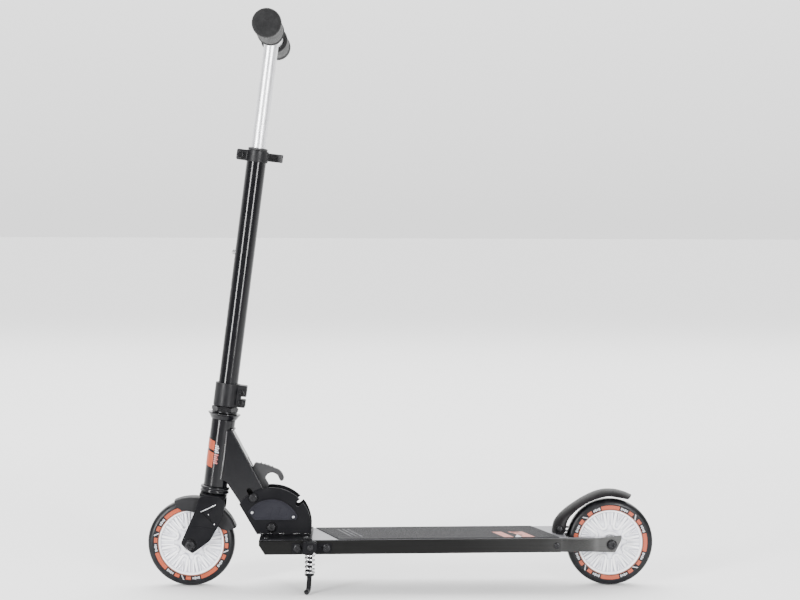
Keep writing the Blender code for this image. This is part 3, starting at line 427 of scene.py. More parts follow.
def on_stem(name, profile, round_=0.5):
    """A finely turned piece around the steering axis."""
    return turned(name, profile, frame_=STEER, round_=round_, steps=96)


def tube_profile(outer, inner, start, end):
    return [(outer, start), (outer, end), (inner, end), (inner, start)]


def mirrored(half):
    """A turned profile from its first half, alike on both sides of the middle."""
    return half + [(radius, -height) for radius, height in reversed(half)]


def drum(name, radius, low, high, at=(0, 0, 0), along="Z", frame_=WORLD, round_=0.0, steps=48):
    return turned(name, [(0, high), (radius, high), (radius, low), (0, low)],
                  at, along, frame_, round_, steps)


def plate(name, outlines, thickness, at=(0, 0, 0), facing="Y", frame_=WORLD, edge=0.0, bends=3):
    """Flat outlines, the inner ones holes, made thick with rounded edges."""
    if not isinstance(outlines[0], list):
        outlines = [outlines]
    curve = bpy.data.curves.new(name, "CURVE")
    curve.dimensions = "2D"
    curve.fill_mode = "BOTH"
    curve.extrude = (thickness / 2 - edge) * MM
    if edge:
        curve.bevel_depth = edge * MM
        curve.bevel_resolution = bends
        curve.offset = -edge * MM
    for outline in outlines:
        spline = curve.splines.new("POLY")
        spline.points.add(len(outline) - 1)
        for point, (a, b) in zip(spline.points, outline):
            point.co = (a * MM, b * MM, 0, 1)
        spline.use_cyclic_u = True
    return bake(add(name, curve, place(at, frame_, FACING[facing])))


def rods(name, paths, radius, resolution=5, frame_=WORLD, taper=None):
    """Round bars along paths, in one object; taper gives the radius factor along a path."""
    curve = bpy.data.curves.new(name, "CURVE")
    curve.dimensions = "3D"
    curve.bevel_depth = radius * MM
    curve.bevel_resolution = resolution
    curve.use_fill_caps = True
    for path in paths:
        spline = curve.splines.new("POLY")
        spline.points.add(len(path) - 1)
        for i, (point, co) in enumerate(zip(spline.points, path)):
            point.co = (*(Vector(co) * MM), 1)
            point.radius = taper(i / (len(path) - 1)) if taper else 1.0
    return bake(add(name, curve, frame_))


def mesh_of(name, shape):
    """A finished bmesh as a mesh."""
    mesh = bpy.data.meshes.new(name)
    shape.to_mesh(mesh)
    shape.free()
    return mesh


def box(name, low, high, frame_=WORLD, bevel=0.0, segments=3):
    low, high = Vector(low) * MM, Vector(high) * MM
    shape = bmesh.new()
    scale = Matrix.Diagonal((*(high - low), 1))
    bmesh.ops.create_cube(shape, size=1, matrix=Matrix.Translation((low + high) / 2) @ scale)
    obj = add(name, mesh_of(name, shape), frame_)
    return bevelled(obj, bevel, segments) if bevel else obj


def bevelled(obj, width, segments=3, angle=35):
    """Round the edges that are sharper than an angle in degrees."""
    soft = obj.modifiers.new("Bevel", "BEVEL")
    soft.width = width * MM
    soft.segments = segments
    soft.limit_method = "ANGLE"
    soft.angle_limit = math.radians(angle)
    soft.use_clamp_overlap = True
    return bake(obj)


def boolean(obj, others, operation):
    """Combine a piece with others, which are used up."""
    for other in others:
        modifier = obj.modifiers.new(operation.title(), "BOOLEAN")
        modifier.operation = operation
        modifier.object = other
    obj = bake(obj)
    for other in others:
        bpy.data.objects.remove(other, do_unlink=True)
    return obj


def join(obj, *others):
    return boolean(obj, others, "UNION")


def cut(obj, *others):
    return boolean(obj, others, "DIFFERENCE")


def merged(name, objects):
    """One object that holds several loose pieces of the same material."""
    shape = bmesh.new()
    for obj in objects:
        mesh = obj.data.copy()
        mesh.transform(obj.matrix_world)
        shape.from_mesh(mesh)
        bpy.data.objects.remove(obj, do_unlink=True)
        bpy.data.meshes.remove(mesh)
    return add(name, mesh_of(name, shape))


def loft(name, sections, thickness):
    """A skin through matching open sections, made thick inwards."""
    shape = bmesh.new()
    rows = [[shape.verts.new(Vector(p) * MM) for p in section] for section in sections]
    for row, following in zip(rows, rows[1:]):
        for i in range(len(row) - 1):
            shape.faces.new((row[i], row[i + 1], following[i + 1], following[i]))
    obj = add(name, mesh_of(name, shape))
    skin = obj.modifiers.new("Solidify", "SOLIDIFY")
    skin.thickness = thickness * MM
    skin.offset = -1
    skin.use_even_offset = True
    return bevelled(obj, min(0.5, thickness * 0.3), 2, 50)


def dress(obj, body, finish, *nodes, slot=None):
    """Give a piece its material, shading, body and the CAD nodes it stands for."""
    obj.data.transform(obj.matrix_world)
    obj.matrix_world = WORLD
    obj.data.materials.clear()
    obj.data.materials.append(finish)
    obj.data.shade_smooth()
    obj.data.set_sharp_from_angle(angle=SHARP_FROM)
    weigh = obj.modifiers.new("Weighted normals", "WEIGHTED_NORMAL")
    weigh.keep_sharp = True
    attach(obj, body)
    if nodes:
        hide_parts(*nodes)


def keep(node, finish):
    """A CAD node whose shape is right: only its material changes."""
    obj = frame["nodes"][node]
    obj.data.materials.clear()
    obj.data.materials.append(finish)


def cap_bolt(name, at, length, shaft_r, head_r, head_h, socket_r, frame_=WORLD):
    """A button-head bolt along Y, its head towards -Y, with a hexagon socket."""
    profile = [(0, length), (shaft_r, length), (shaft_r, 0), (head_r, 0),
               (head_r, -head_h * 0.45), (head_r * 0.72, -head_h), (0, -head_h)]
    body = turned(name, profile, at, "Y", frame_, 0.6, 48)
    socket = drum(name + "_socket", socket_r, -(head_h + 1), -head_h * 0.35, at, "Y", frame_,
                  steps=6)
    return cut(body, socket)


def hex_nut(name, at, height, across_r, bore_r, frame_=WORLD):
    """A hexagon nut along +Y with turned chamfers."""
    nut = drum(name, across_r, 0, height, at, "Y", frame_, steps=6)
    dome = turned("dome", [(0, height), (across_r * 0.84, height), (across_r * 1.03, height * 0.8),
                           (across_r * 1.03, height * 0.2), (across_r * 0.84, 0), (0, 0)],
                  at, "Y", frame_, 0.2, 48)
    nut = boolean(nut, [dome], "INTERSECT")
    return cut(nut, drum("bore", bore_r, -1, height + 1, at, "Y", frame_))


def ring_piece(centre, inner, outer, start, end):
    """The outline of a stretch of ring, angles in degrees."""
    count = max(2, int(abs(end - start) / 2.5))
    return (arc(centre, outer, start, end, count) + arc(centre, inner, end, start, count))


def band(path, half):
    """The outline of a stroke along a path."""
    return inset(path, -half) + inset(path, half)[::-1]


def inset(points, depth, closed=False):
    """A line moved sideways, to the right of its direction."""
    moved, count = [], len(points)
    for i, point in enumerate(points):
        before = points[i - 1 if closed else max(i - 1, 0)]
        after = points[(i + 1) % count if closed else min(i + 1, count - 1)]
        way = (Vector(after) - Vector(before)).normalized()
        moved.append((point[0] + way.y * depth, point[1] - way.x * depth))
    return moved


def polar(centre, angle, radius):
    a = math.radians(angle)
    return (centre[0] + radius * math.cos(a), centre[1] + radius * math.sin(a))


def weld_bead(name, path, radius, pitch=1.5, frame_=WORLD):
    """A bead of overlapping ripples along a path."""
    points = [Vector(p) for p in path]
    fine = []
    for a, b in zip(points, points[1:]):
        count = max(2, int((b - a).length / (pitch / 5)))
        fine += [a.lerp(b, i / count) for i in range(count)]
    fine.append(points[-1])
    length = len(fine)
    return rods(name, [fine], radius, 3, frame_,
                taper=lambda t: 0.72 + 0.28 * abs(math.sin(t * length * math.pi / 5)))


def wrapped(name, corners, radius, frame_, columns=14):
    """Thin film on a tube: four corners as (angle, height), anticlockwise from low left."""
    low_left, low_right, high_right, high_left = [Vector(c) for c in corners]
    shape = bmesh.new()
    rings = []
    for depth, start, end in ((0.0, low_left, low_right), (0.12, low_left, low_right),
                              (0.12, high_left, high_right), (0.0, high_left, high_right)):
        ring = []
        for i in range(columns + 1):
            spot = start.lerp(end, i / columns)
            x, y = polar((0, 0), spot.x, radius + depth)
            ring.append(shape.verts.new(Vector((x, y, spot.y)) * MM))
        rings.append(ring)
    for a, b in zip(rings, rings[1:] + rings[:1]):
        for i in range(columns):
            shape.faces.new((a[i], a[i + 1], b[i + 1], b[i]))
    shape.faces.new([ring[0] for ring in rings])
    shape.faces.new([ring[-1] for ring in rings][::-1])
    return bake(add(name, mesh_of(name, shape), frame_))


# Radii of the holes for the axles, the bolts, the height clip and the snap buttons
AXLE_BORE, BOLT_BORE, CLIP_BORE, SNAP_BORE = 4.35, 2.8, 4.2, 3.3

# ---------------------------------------------------------------- wheels

TYRE_FACE = 11.45               # the tyre's flat side, from the wheel's middle
PRINT_T = 0.14
SPOKES = 8
WEB_FACE = 6.6                  # height of the ribs' middle lines, from the wheel's middle


def hub_ribs(prefix, centre, side):
    """Raised arches that open towards the rim, with a small chevron between them."""
    flat = (centre.x, centre.z)
    y = side * WEB_FACE

    def ridge(path, radius):
        return rods("ridge", [[(px, y, pz) for px, pz in path]], radius, 4)

    ribs = []
    for i in range(SPOKES):
        middle = 360 / SPOKES * (i + 0.5)
        foot = arc(polar(flat, middle, 23.6), 4.0, middle + 105, middle + 255, 12)
        arch = [polar(flat, middle + 10.6, 41.6), polar(flat, middle + 10.8, 32)] + foot
        arch += [polar(flat, middle - 10.8, 32), polar(flat, middle - 10.6, 41.6)]
        ribs.append(ridge(arch, 2.1))
        chevron = [polar(flat, middle + 5.2, 41.4), polar(flat, middle, 30.0),
                   polar(flat, middle - 5.2, 41.4)]
        ribs.append(ridge(chevron, 1.4))
        between = middle + 22.5
        for offset in (-4.2, 4.2):
            start = polar(flat, between + offset * 1.5, 23.5)
            ribs.append(ridge([start, polar(flat, between + offset, 41.4)], 1.5))
    return merged(prefix + "_ribs", ribs)


def tyre_prints(centre, first):
    """Outlines of the band printed on the tyre: long orange bars and broken pale blocks."""
    flat = (centre.x, centre.z)
    orange, pale = [], []
    for i in range(4):
        at = first + 90 * i
        orange.append(soften(ring_piece(flat, 46.4, 51.6, at - 15, at + 15), 0.9, steps=2))
        for turn in (-1, 1):
            start, end = sorted((at + turn * 31.5, at + turn * 39.5))
            orange.append(ring_piece(flat, 46.8, 51.2, start, end))
            for j in range(4):
                a, b = sorted((at + turn * (17.2 + j * 3.1), at + turn * (19.6 + j * 3.1)))
                trim = 0.5 * (j % 2)
                pale.append(ring_piece(flat, 47.4 + trim, 50.8 - trim, a, b))
        slash = at + 45
        pale.append([polar(flat, slash - 3.4, 46.2), polar(flat, slash - 1.4, 46.2),
                     polar(flat, slash + 3.6, 52.2), polar(flat, slash + 1.6, 52.2)])
    return orange, pale


def prints(name, outlines, y):
    return merged(name, [plate("print", o, PRINT_T, (0, y, 0)) for o in outlines])


def wheel(prefix, centre, first):
    body = prefix + "_wheel"
    tyre = turned(prefix + "_tyre_shell", mirrored([
        (45.1, 10.7), (46.0, TYRE_FACE), (52.4, TYRE_FACE), (53.2, 11.5), (56.0, 10.6),
        (58.6, 8.6), (59.8, 5.6), (59.98, 2.4)]), centre, "Y", round_=1.2, steps=144)
    dress(tyre, body, TYRE, prefix + "_tyre")

    lip = turned(prefix + "_tyre_lip", [(45.0, 11.5), (45.9, 11.5), (45.9, 10.9), (45.0, 10.9)],
                 centre, "Y", round_=0.2, steps=128)
    other = turned("lip", [(45.0, -10.9), (45.9, -10.9), (45.9, -11.5), (45.0, -11.5)],
                   centre, "Y", round_=0.2, steps=128)
    dress(merged(prefix + "_tyre_lips", [lip, other]), body, ORANGE_RING)

    orange, pale = tyre_prints(centre, first)
    for name, outlines, finish in (("orange", orange, ORANGE), ("pale", pale, PALE_PRINT)):
        sides = [prints("side", outlines, side * (TYRE_FACE + PRINT_T / 2 + 0.01))
                 for side in (-1, 1)]
        dress(merged(prefix + "_print_" + name, sides), body, finish, slot="tyre")

    hub = turned(prefix + "_hub_disc", [
        (45.0, 10.5), (45.0, -10.5), (43.4, -10.8), (42.0, -8.4), (40.8, -5.6), (17.6, -5.6),
        (15.8, -8.0), (14.8, -12.0), (11.3, -12.0), (11.3, -4.7), (7.2, -4.7), (7.2, 4.7),
        (11.3, 4.7), (11.3, 12.0), (14.8, 12.0), (15.8, 8.0), (17.6, 5.6), (40.8, 5.6),
        (42.0, 8.4), (43.4, 10.8)], centre, "Y", round_=0.7, steps=128)
    ribs = [hub_ribs(prefix, centre, side) for side in (-1, 1)]
    dress(merged(prefix + "_hub_moulding", [hub, *ribs]), body, WHITE, prefix + "_hub")

    for name, sign in SIDES:
        ring = [(11.0, 5.0), (11.0, 12.0), (9.6, 12.0), (9.3, 11.4), (6.6, 11.4), (6.3, 12.0),
                (4.35, 12.0), (4.35, 5.0)]
        ring = [(r, sign * h) for r, h in ring]
        bearing = turned(prefix + "_bearing_shield_" + name, ring, centre, "Y", round_=0.3,
                         steps=64)
        dress(bearing, body, STEEL, prefix + "_bearing_" + name)


wheel("front", FRONT_AXLE, 31.0)
wheel("rear", REAR_AXLE, 0.0)
for sleeve in ("front_bearing_sleeve", "rear_bearing_sleeve"):
    keep(sleeve, STEEL)


# ---------------------------------------------------------------- fork and front fender

LEG_IN, LEG_OUT = 21.5, 25.0
CROWN_LOW, CROWN_HIGH = 63.6, 68.0
ARROW = [(-14.3, 43.2), (6.2, 56.2), (-2.5, 41.3), (6.9, 28.0)]


def axle_boss(side, reach, centre):
    """The round spacer between a hub and the leg or arm beside it."""
    low, high = sorted((side * 12.3, side * (reach - 1)))
    return drum("boss", 6.2, low, high, centre, "Y", round_=0.4)


def fork_leg(side):
    """A leg's black parts, and the steel strip and dots on its arrow's edges, which are painted
    highlights.
    """
    outline = [(-11.0, 67.0), (-18.9, 63.0), (-20.6, 50.0), (-22.6, 42.0), (-35.9, -3.6),
               (-18.2, -15.2), (3.8, 5.8), (11.1, 24.3), (16.6, 40.9), (17.4, 52.8),
               (16.8, 62.5), (9.0, 67.0)]
    thick = LEG_OUT - LEG_IN
    leg = plate("leg", soften(outline, 3.4, steps=5), thick,
                (0, side * (LEG_IN + LEG_OUT) / 2, 0), "Y", STEER, 0.8)
    recess = plate("recess", soften(ARROW, 1.2), 3.2, (0, side * (LEG_OUT + 0.1), 0), "Y", STEER)
    leg = cut(leg, recess)
    rim = [(x, side * (LEG_OUT - 0.15), z) for x, z in soften(ARROW, 1.2)]
    border = rods("border", [rim + rim[:1]], 0.45, 3, STEER)
    # Painted highlights: a steel strip along the arrow's upper edge and two steel dots at its
    # corners stand in for the light on the stamped edges
    edge = [(x, side * (LEG_OUT - 0.1), z) for x, z in ((-13.6, 44.0), (5.2, 55.9))]
    strip = rods("edge", [edge], 0.75, 4, STEER)
    painted_glints = [[(x, side * (LEG_OUT - 0.1), z) for x, z in pair]
              for pair in (((-3.2, 42.2), (-2.3, 40.8)), ((5.9, 29.8), (6.9, 28.2)))]
    painted_highlights = [strip, rods("painted_glints", painted_glints, 0.36, 3, STEER)]
    fold_line = [(-24.6, 20.8), (-14, 23.2), (9.4, 22.2)]
    crease = rods("crease", [[(x, side * (LEG_OUT - 0.55), z) for x, z in fold_line]], 0.9, 3,
                  STEER)
    boss = axle_boss(side, LEG_OUT, FRONT_AXLE)
    washer = turned("washer", tube_profile(8.0, 4.4, side * 24.6, side * 25.2), FRONT_AXLE, "Y",
                    round_=0.2)
    return [leg, border, crease, boss, washer], painted_highlights


def fork():
    crown_outline = [(-19.6, -17), (-12, -LEG_OUT), (9.5, -LEG_OUT), (17.4, -17), (17.4, 17),
                     (9.5, LEG_OUT), (-12, LEG_OUT), (-19.6, 17)]
    crown = plate("crown", soften(crown_outline, 4), CROWN_HIGH - CROWN_LOW,
                  (0, 0, (CROWN_HIGH + CROWN_LOW) / 2), "Z", STEER, 1.2)
    steerer = turned("steerer", tube_profile(11.5, 9.4, 222, 64), frame_=STEER)
    race = turned("race", tube_profile(14.5, 10.5, 69.0, 67.0), frame_=STEER)
    parts, painted_highlights = [crown, steerer, race], []
    for side in (-1, 1):
        black, painted_leg_highlights = fork_leg(side)
        parts += black
        painted_highlights += painted_leg_highlights
        seam = [(x, side * (LEG_OUT - 0.6), 66.4) for x in (-12, -2, 8)]
        parts.append(weld_bead("seam", seam, 1.0, frame_=STEER))
    dress(merged("fork_stamping", parts), "fork", SATIN, "fork")
    # The painted highlights on both legs' arrows, in steel
    dress(merged("fork_painted_highlights", painted_highlights), "fork", STEEL)


def front_fender():
    centre = (FRONT_AXLE.x, FRONT_AXLE.z)
    skirt = [(19, 52.0), (26, 46.0), (32, 43.6), (60, 42.6), (85, 43.2), (104, 46.0), (112, 52.5)]

    def skirt_radius(angle):
        for (a, r), (b, s) in zip(skirt, skirt[1:]):
            if angle <= b:
                return mix(r, s, ease((angle - a) / (b - a)))
        return skirt[-1][1]

    sections = []
    for i in range(57):
        angle = mix(112, 19, i / 56)
        top = mix(62.8, 65.6, i / 56)
        low = min(skirt_radius(angle), top - 6)
        half = [(low, 14.8), (mix(low, top - 5, 0.5), 14.75), (top - 5, 14.6)]
        half += [(top - 5 + 5 * math.sin(math.radians(a)), 9.6 + 5 * math.cos(math.radians(a)))
                 for a in (15, 30, 45, 60, 75, 90)]
        half.append((top + 0.25, 0))
        whole = half + [(r, -y) for r, y in half[-2::-1]]
        sections.append([(*polar(centre, angle, r), y) for r, y in whole])
    sections = [[(x, y, z) for x, z, y in section] for section in sections]
    shell = loft("front_mudguard", sections, 1.7)
    dress(shell, "fork", MUDGUARD, "front_fender")


def axle_bolt(name, node, centre, out, length, body):
    bolt = cap_bolt(name, (centre.x, -out - GAP, centre.z), length, 4.0, 7.2, 4.4, 2.7)
    dress(bolt, body, DARK, node + "_bolt")
    nut_at = (centre.x, out + GAP, centre.z)
    nut = hex_nut(name + "_nut", nut_at, 6.5, 7.5, AXLE_BORE)
    ring = turned("collar", tube_profile(5.6, 4.4, 6.3, 7.3), nut_at, "Y", round_=0.3)
    dress(merged(name + "_locknut", [nut, ring]), body, DARK, node + "_nut")


fork()
front_fender()
axle_bolt("front_axle_screw", "front_axle", FRONT_AXLE, LEG_OUT, 2 * LEG_OUT + 8.5, "fork")


# ---------------------------------------------------------------- neck and headset

NECK_HALF = 15.0
LOCK_ANGLE = math.radians(121.7)
LOCK_WAY = Vector((math.cos(LOCK_ANGLE), math.sin(LOCK_ANGLE)))
FOLD_AT = Vector((PIVOT.x, PIVOT.z))
LOCK_R = 48.2                   # the lock pin and its notches, from the fold pivot
LOCK_PIN = FOLD_AT + LOCK_WAY * LOCK_R
NOTCH_HALF = 3.35


def straight_slot(start, end, half, thickness):
    way = math.degrees(math.atan2(end.y - start.y, end.x - start.x))
    outline = arc(start, half, way + 90, way + 270, 16) + arc(end, half, way - 90, way + 90, 16)
    return plate("slot", outline, thickness)


def neck():
    tongue = arc(FOLD_AT, 9.4, 15, -150, 24)
    outline = [(-262.0, 160.0), (-252.5, 217.6), (-233.8, 217.6), (-190.9, 137.4), (-172.6, 103.0)]
    outline = soften(outline, 5) + tongue + [(-199.4, 84.0), (-221.2, 114.1), (-241.1, 144.4),
                                             (-253.0, 150.0)]
    shell = plate("neck", outline, 2 * NECK_HALF, edge=1.6, bends=4)
    room = [(-262.0, 163.0), (-254.0, 206.0), (-237.0, 206.0), (-193.6, 136.6), (-175.6, 103.0),
            (-160, 86), (-160, 66), (-185, 66), (-201.6, 89.0), (-219.2, 115.4), (-240.0, 147.5)]
    hollow = plate("hollow", room, 2 * (NECK_HALF - 2.5))
    lock_slot = straight_slot(LOCK_PIN - LOCK_WAY * 0.3, LOCK_PIN + LOCK_WAY * 10.8, NOTCH_HALF,
                              60)
    window = plate("window", [(-180.0, 131.0), (-196.0, 128.0), (-222.0, 172.0),
                              (-206.0, 182.0)], 9.4)
    pivot = drum("pivot", AXLE_BORE, -30, 30, (PIVOT.x, 0, PIVOT.z), "Y")
    shell = cut(shell, hollow, lock_slot, window, pivot)
    tube = on_stem("head_tube", tube_profile(16.5, 14.0, 171.5, 79.0))
    dress(merged("neck_weldment", [shell, tube]), "neck", GLOSS, "neck_frame")
    seams = [[(7.8 - abs(i - 5) * 0.12, side * 14.6, 90 + 7.4 * i) for i in range(10)]
             for side in (-1, 1)]
    seams.append([(16.6 - 2.2 * (y / 14) ** 2, y, 160.4) for y in range(-14, 15, 2)])
    beads = [weld_bead("seam", seam, 1.5, 2.1, frame_=STEER) for seam in seams]
    dress(merged("neck_weld_seams", beads), "neck", WELD)


def headset():
    lower = on_stem("lower_cup", [
        (18.6, 78.7), (20.0, 77.4), (20.0, 75.4), (19.2, 74.6), (19.2, 73.0), (20.0, 72.2),
        (20.0, 70.6), (18.6, 69.3), (17.3, 69.3), (17.3, 76.9), (14.0, 76.9), (14.0, 78.7)])
    upper = on_stem("upper_cup", [
        (22.4, 180.6), (22.4, 179.4), (20.6, 177.4), (18.9, 174.6), (17.2, 171.8), (14.0, 171.8),
        (14.0, 173.6), (16.5, 173.6), (16.5, 180.6)], 0.6)
    dress(lower, "neck", GLOSS, "headset_cup_lower")
    dress(upper, "neck", GLOSS, "headset_cup_upper")
    flats = drum("flats", 18.4, 182.8, 190.2, frame_=STEER, steps=6)
    dome = on_stem("dome", [(0, 190.2), (15.4, 190.2), (18.6, 188.6), (18.6, 184.4),
                            (16.2, 182.8), (0, 182.8)], 0.2)
    nut = boolean(flats, [dome], "INTERSECT")
    nut = cut(nut, drum("bore", 13.6, 180, 195, frame_=STEER))
    skirt = turned("skirt", [(17.6, 183.2), (17.6, 181.6), (17.0, 181.0), (13.6, 181.0),
                             (13.6, 183.2)], frame_=STEER)
    dress(merged("headset_locknut", [nut, skirt]), "fork", DARK, "headset_nut")
    for bearing in ("headset_bearing_lower", "headset_bearing_upper"):
        keep(bearing, STEEL)


FILM_R = 16.55                  # inner radius of the film on the head tube


def head_prints():
    """Two slanted orange bars on the left of the head tube, and two small pale labels."""
    bars = [((181, 132.5), (245, 128.6), (245, 141.5), (181, 145.5)),
            ((181, 108.5), (245, 104.9), (245, 125.5), (181, 129.5))]
    films = [wrapped("film", bar, FILM_R, STEER) for bar in bars]
    dress(merged("head_bars", films), "neck", ORANGE)
    for name, low, count, finish in (("white", 126.6, 4, PALE_PRINT),
                                     ("red", 111.4, 5, PINK_PRINT)):
        films = []
        for i in range(count):
            s, short = low + 2.8 * i, 4.0 * (i % 2)
            films.append(wrapped("film", ((249, s), (269 - short, s - 0.8),
                                          (269 - short, s + 1.1), (249, s + 1.9)), FILM_R, STEER))
        dress(merged("head_label_" + name, films), "neck", finish)


neck()
headset()
head_prints()


# ---------------------------------------------------------------- fold lock

def fold_lock():
    hook = [(-201.3, 170.6), (-185.0, 166.9), (-168.7, 160.2), (-164.8, 155.8), (-162.3, 149.2),
            (-163.2, 146.0), (-166.5, 144.2), (-168.7, 147.0), (-170.9, 152.3), (-174.1, 155.0),
            (-179.3, 156.8), (-185.0, 154.6), (-188.6, 149.2), (-182.8, 139.1), (-185.0, 135.1),
            (-189.5, 134.2), (-196.8, 125.4)]
    outline = soften(hook, 2.4, closed=False, steps=4)
    outline += arc(LOCK_PIN, 7.4, 0, -180, 20) + [(-212.6, 132.0), (-203.9, 168.1)]
    lever = plate("lever", outline, 8.0, edge=1.3, bends=4)
    hole = drum("hole", NOTCH_HALF, -10, 10, (LOCK_PIN.x, 0, LOCK_PIN.y), "Y")
    lever = cut(lever, hole)
    ridges = []
    for i in range(4):
        x = -194.0 + i * 5.2
        z = 170.2 - i * 1.75
        ridges.append(rods("ridge", [[(x, -3.6, z - 0.5), (x, 3.6, z - 0.5)]], 0.8, 3))
    dress(merged("release_hook", [lever, *ridges]), "lock", PLASTIC, "release_lever")
    pin = turned("lock_bolt", mirrored([
        (0, 22.2), (5.0, 22.0), (6.0, 20.6), (6.0, 18.8), (3.0, 18.8)]),
        (LOCK_PIN.x, 0, LOCK_PIN.y), "Y", round_=0.6)
    dress(pin, "lock", DARK, "lock_pin")


fold_lock()


# ---------------------------------------------------------------- stem

STEM_OUT, STEM_IN = 13.5, 11.9
STEM_LOW, STEM_HIGH = 192.0, 544.8
CLIP_S, HOLE_PITCH = 403.0, 50.0
CLAMP_LOW, CLAMP_HIGH = 190.6, 222.4
CLAMP_BOLTS = (197.5, 211.4)
CLAMP_BOLT_X = 20.6
SKEWER = (-22.5, 536.0)
CAM_R, CAM_Y = 6.0, 17.2


def split_ring(radius, low, high, corner, ears, ear_corner, slit):
    """A ring with ears around the stem, and the bore and the slit to be cut from it."""
    ring = on_stem("ring", tube_profile(radius, STEM_OUT + GAP, high, low), corner)
    ring = join(ring, box("ears", *ears, STEER, ear_corner, 4))
    bore = drum("bore", STEM_OUT + GAP, low - 5, high + 5, frame_=STEER, steps=96)
    return ring, bore, box("slit", (slit[0], -1.5, low - 5), (slit[1], 1.5, high + 5), STEER)


def stem_clamp():
    ears = (12.5, -9.5, CLAMP_LOW + 0.6), (27.0, 9.5, CLAMP_HIGH - 0.6)
    ring, bore, slit = split_ring(17.2, CLAMP_LOW, CLAMP_HIGH, 0.8, ears, 1.6, (10, 30))
    middle = (CLAMP_BOLTS[0] + CLAMP_BOLTS[1]) / 2
    waist = box("waist", (20.0, -12, middle - 2.2), (30, 12, middle + 2.2), STEER)
    holes = [drum("hole", BOLT_BORE, -15, 15, (CLAMP_BOLT_X, 0, s), "Y", STEER)
             for s in CLAMP_BOLTS]
    ring = bevelled(cut(ring, bore, waist, slit, *holes), 0.35, 2)
    dress(ring, "fork", CAST, "stem_clamp")
    for name, s in zip(("lower", "upper"), CLAMP_BOLTS):
        screw = cap_bolt("clamp_screw_" + name, (CLAMP_BOLT_X, -9.8, s), 19.0, 2.5, 4.3, 3.3, 2.1,
                         STEER)
        dress(screw, "fork", DARK, "stem_clamp_bolt_" + name)


def stem_tube():
    tube = on_stem("stem", tube_profile(STEM_OUT, STEM_IN, STEM_HIGH, STEM_LOW))
    holes = [drum("hole", CLIP_BORE, -20, -5, (0, 0, CLIP_S - HOLE_PITCH * i), "X", STEER)
             for i in range(3)]
    slit = box("slit", (-20, -1.2, STEM_HIGH - 24), (-5, 1.2, STEM_HIGH + 5), STEER)
    tube = bevelled(cut(tube, slit, *holes), 0.25, 2)
    dress(tube, "fork", GLOSS, "stem_tube")
    bush = on_stem("bush", [
        (12.6, 548.4), (13.4, 547.6), (13.4, STEM_HIGH + GAP), (11.5, STEM_HIGH + GAP),
        (11.5, 518.0), (10.35, 518.0), (10.35, 548.4)])
    dress(bush, "fork", PLASTIC, "height_bush")


def height_clamp():
    low, high = 529.0, 544.6
    ears = (-28.0, -8.5, low + 0.4), (-12.0, 8.5, high - 0.4)
    ring, bore, slit = split_ring(15.3, low, high, 0.6, ears, 2.4, (-30, -10))
    hole = drum("hole", BOLT_BORE, -15, 15, (SKEWER[0], 0, SKEWER[1]), "Y", STEER)
    ring = bevelled(cut(ring, bore, slit, hole), 0.3, 2)
    dress(ring, "fork", CAST, "height_clamp")
    skewer = turned("skewer", [
        (0, CAM_Y + 1.5), (2.5, CAM_Y + 1.5), (2.5, -8.8), (5.0, -8.8), (5.0, -12.2),
        (3.6, -13.4), (0, -13.4)], (SKEWER[0], 0, SKEWER[1]), "Y", STEER)
    knurls = [rods("knurl", [[(SKEWER[0] + 4.9 * math.cos(a), y, SKEWER[1] + 4.9 * math.sin(a))
                              for y in (-9.2, -12.0)]], 0.45, 2, STEER)
              for a in (math.tau * i / 16 for i in range(16))]
    dress(merged("skewer_thumb_nut", [skewer, *knurls]), "fork", DARK,
          "clamp_skewer")


def qr_lever():
    centre_line = smooth_path([(-25.5, 19.0, 0), (-10.0, 20.6, 0), (6.0, 21.0, 0),
                               (17.0, 19.6, 0), (27.0, 15.6, 0), (34.6, 11.4, 0)], 5)
    centre_line = [(p.x, p.y) for p in centre_line]
    outline = soften(band(centre_line, 1.7), 1.2, steps=3)
    handle = plate("handle", outline, 11.4, (0, 0, SKEWER[1] + 2.0), "Z", STEER, 1.1)
    cam = drum("cam", CAM_R, -6.2, 7.2, (SKEWER[0], CAM_Y, SKEWER[1]), "Z", STEER, 0.6)
    swing = arc((SKEWER[0], CAM_Y), CAM_R + 2, -45, -240, 24)
    swing += arc((SKEWER[0], CAM_Y), 3.8, 120, -45, 16)
    cam = cut(cam, plate("way", swing, 5.8, (0, 0, SKEWER[1]), "Z", STEER))
    dress(merged("qr_handle", [handle, cam]), "quick_release", PLASTIC,
          "quick_release_lever")


stem_clamp()
stem_tube()
height_clamp()
qr_lever()


# ---------------------------------------------------------------- handlebar

BAR_S = 703.0
SNAP_Y = 45.0
TEE_R, TEE_HALF = 12.6, 51.5
BAR_R, BAR_BORE = 10.8, 9.2


def inner_tube():
    tube = on_stem("tube", tube_profile(10.0, 8.3, 692.0, 385.0))
    tube = cut(tube, drum("hole", CLIP_BORE, -15, -5, (0, 0, CLIP_S), "X", STEER))
    sleeve = turned("sleeve", tube_profile(TEE_R, 11.1, -TEE_HALF, TEE_HALF), (0, 0, BAR_S), "Y",
                    STEER, 0.5, 96)
    holes = [drum("hole", SNAP_BORE, -20, -5, (0, side * SNAP_Y, BAR_S), "Z", STEER)
             for side in (-1, 1)]
    sleeve = cut(sleeve, *holes)
    ring = []
    for i in range(49):
        a = math.tau * i / 48
        x, y = 10.1 * math.cos(a), 10.1 * math.sin(a)
        ring.append((x, y, BAR_S - math.sqrt(max(TEE_R ** 2 - x * x, 0.0))))
    bead = weld_bead("bead", ring, 1.1, 1.8, frame_=STEER)
    dress(merged("inner_tube_and_sleeve", [tube, sleeve, bead]), "handlebar", SILVER,
          "inner_tube")
    keep("height_clip", STEEL)


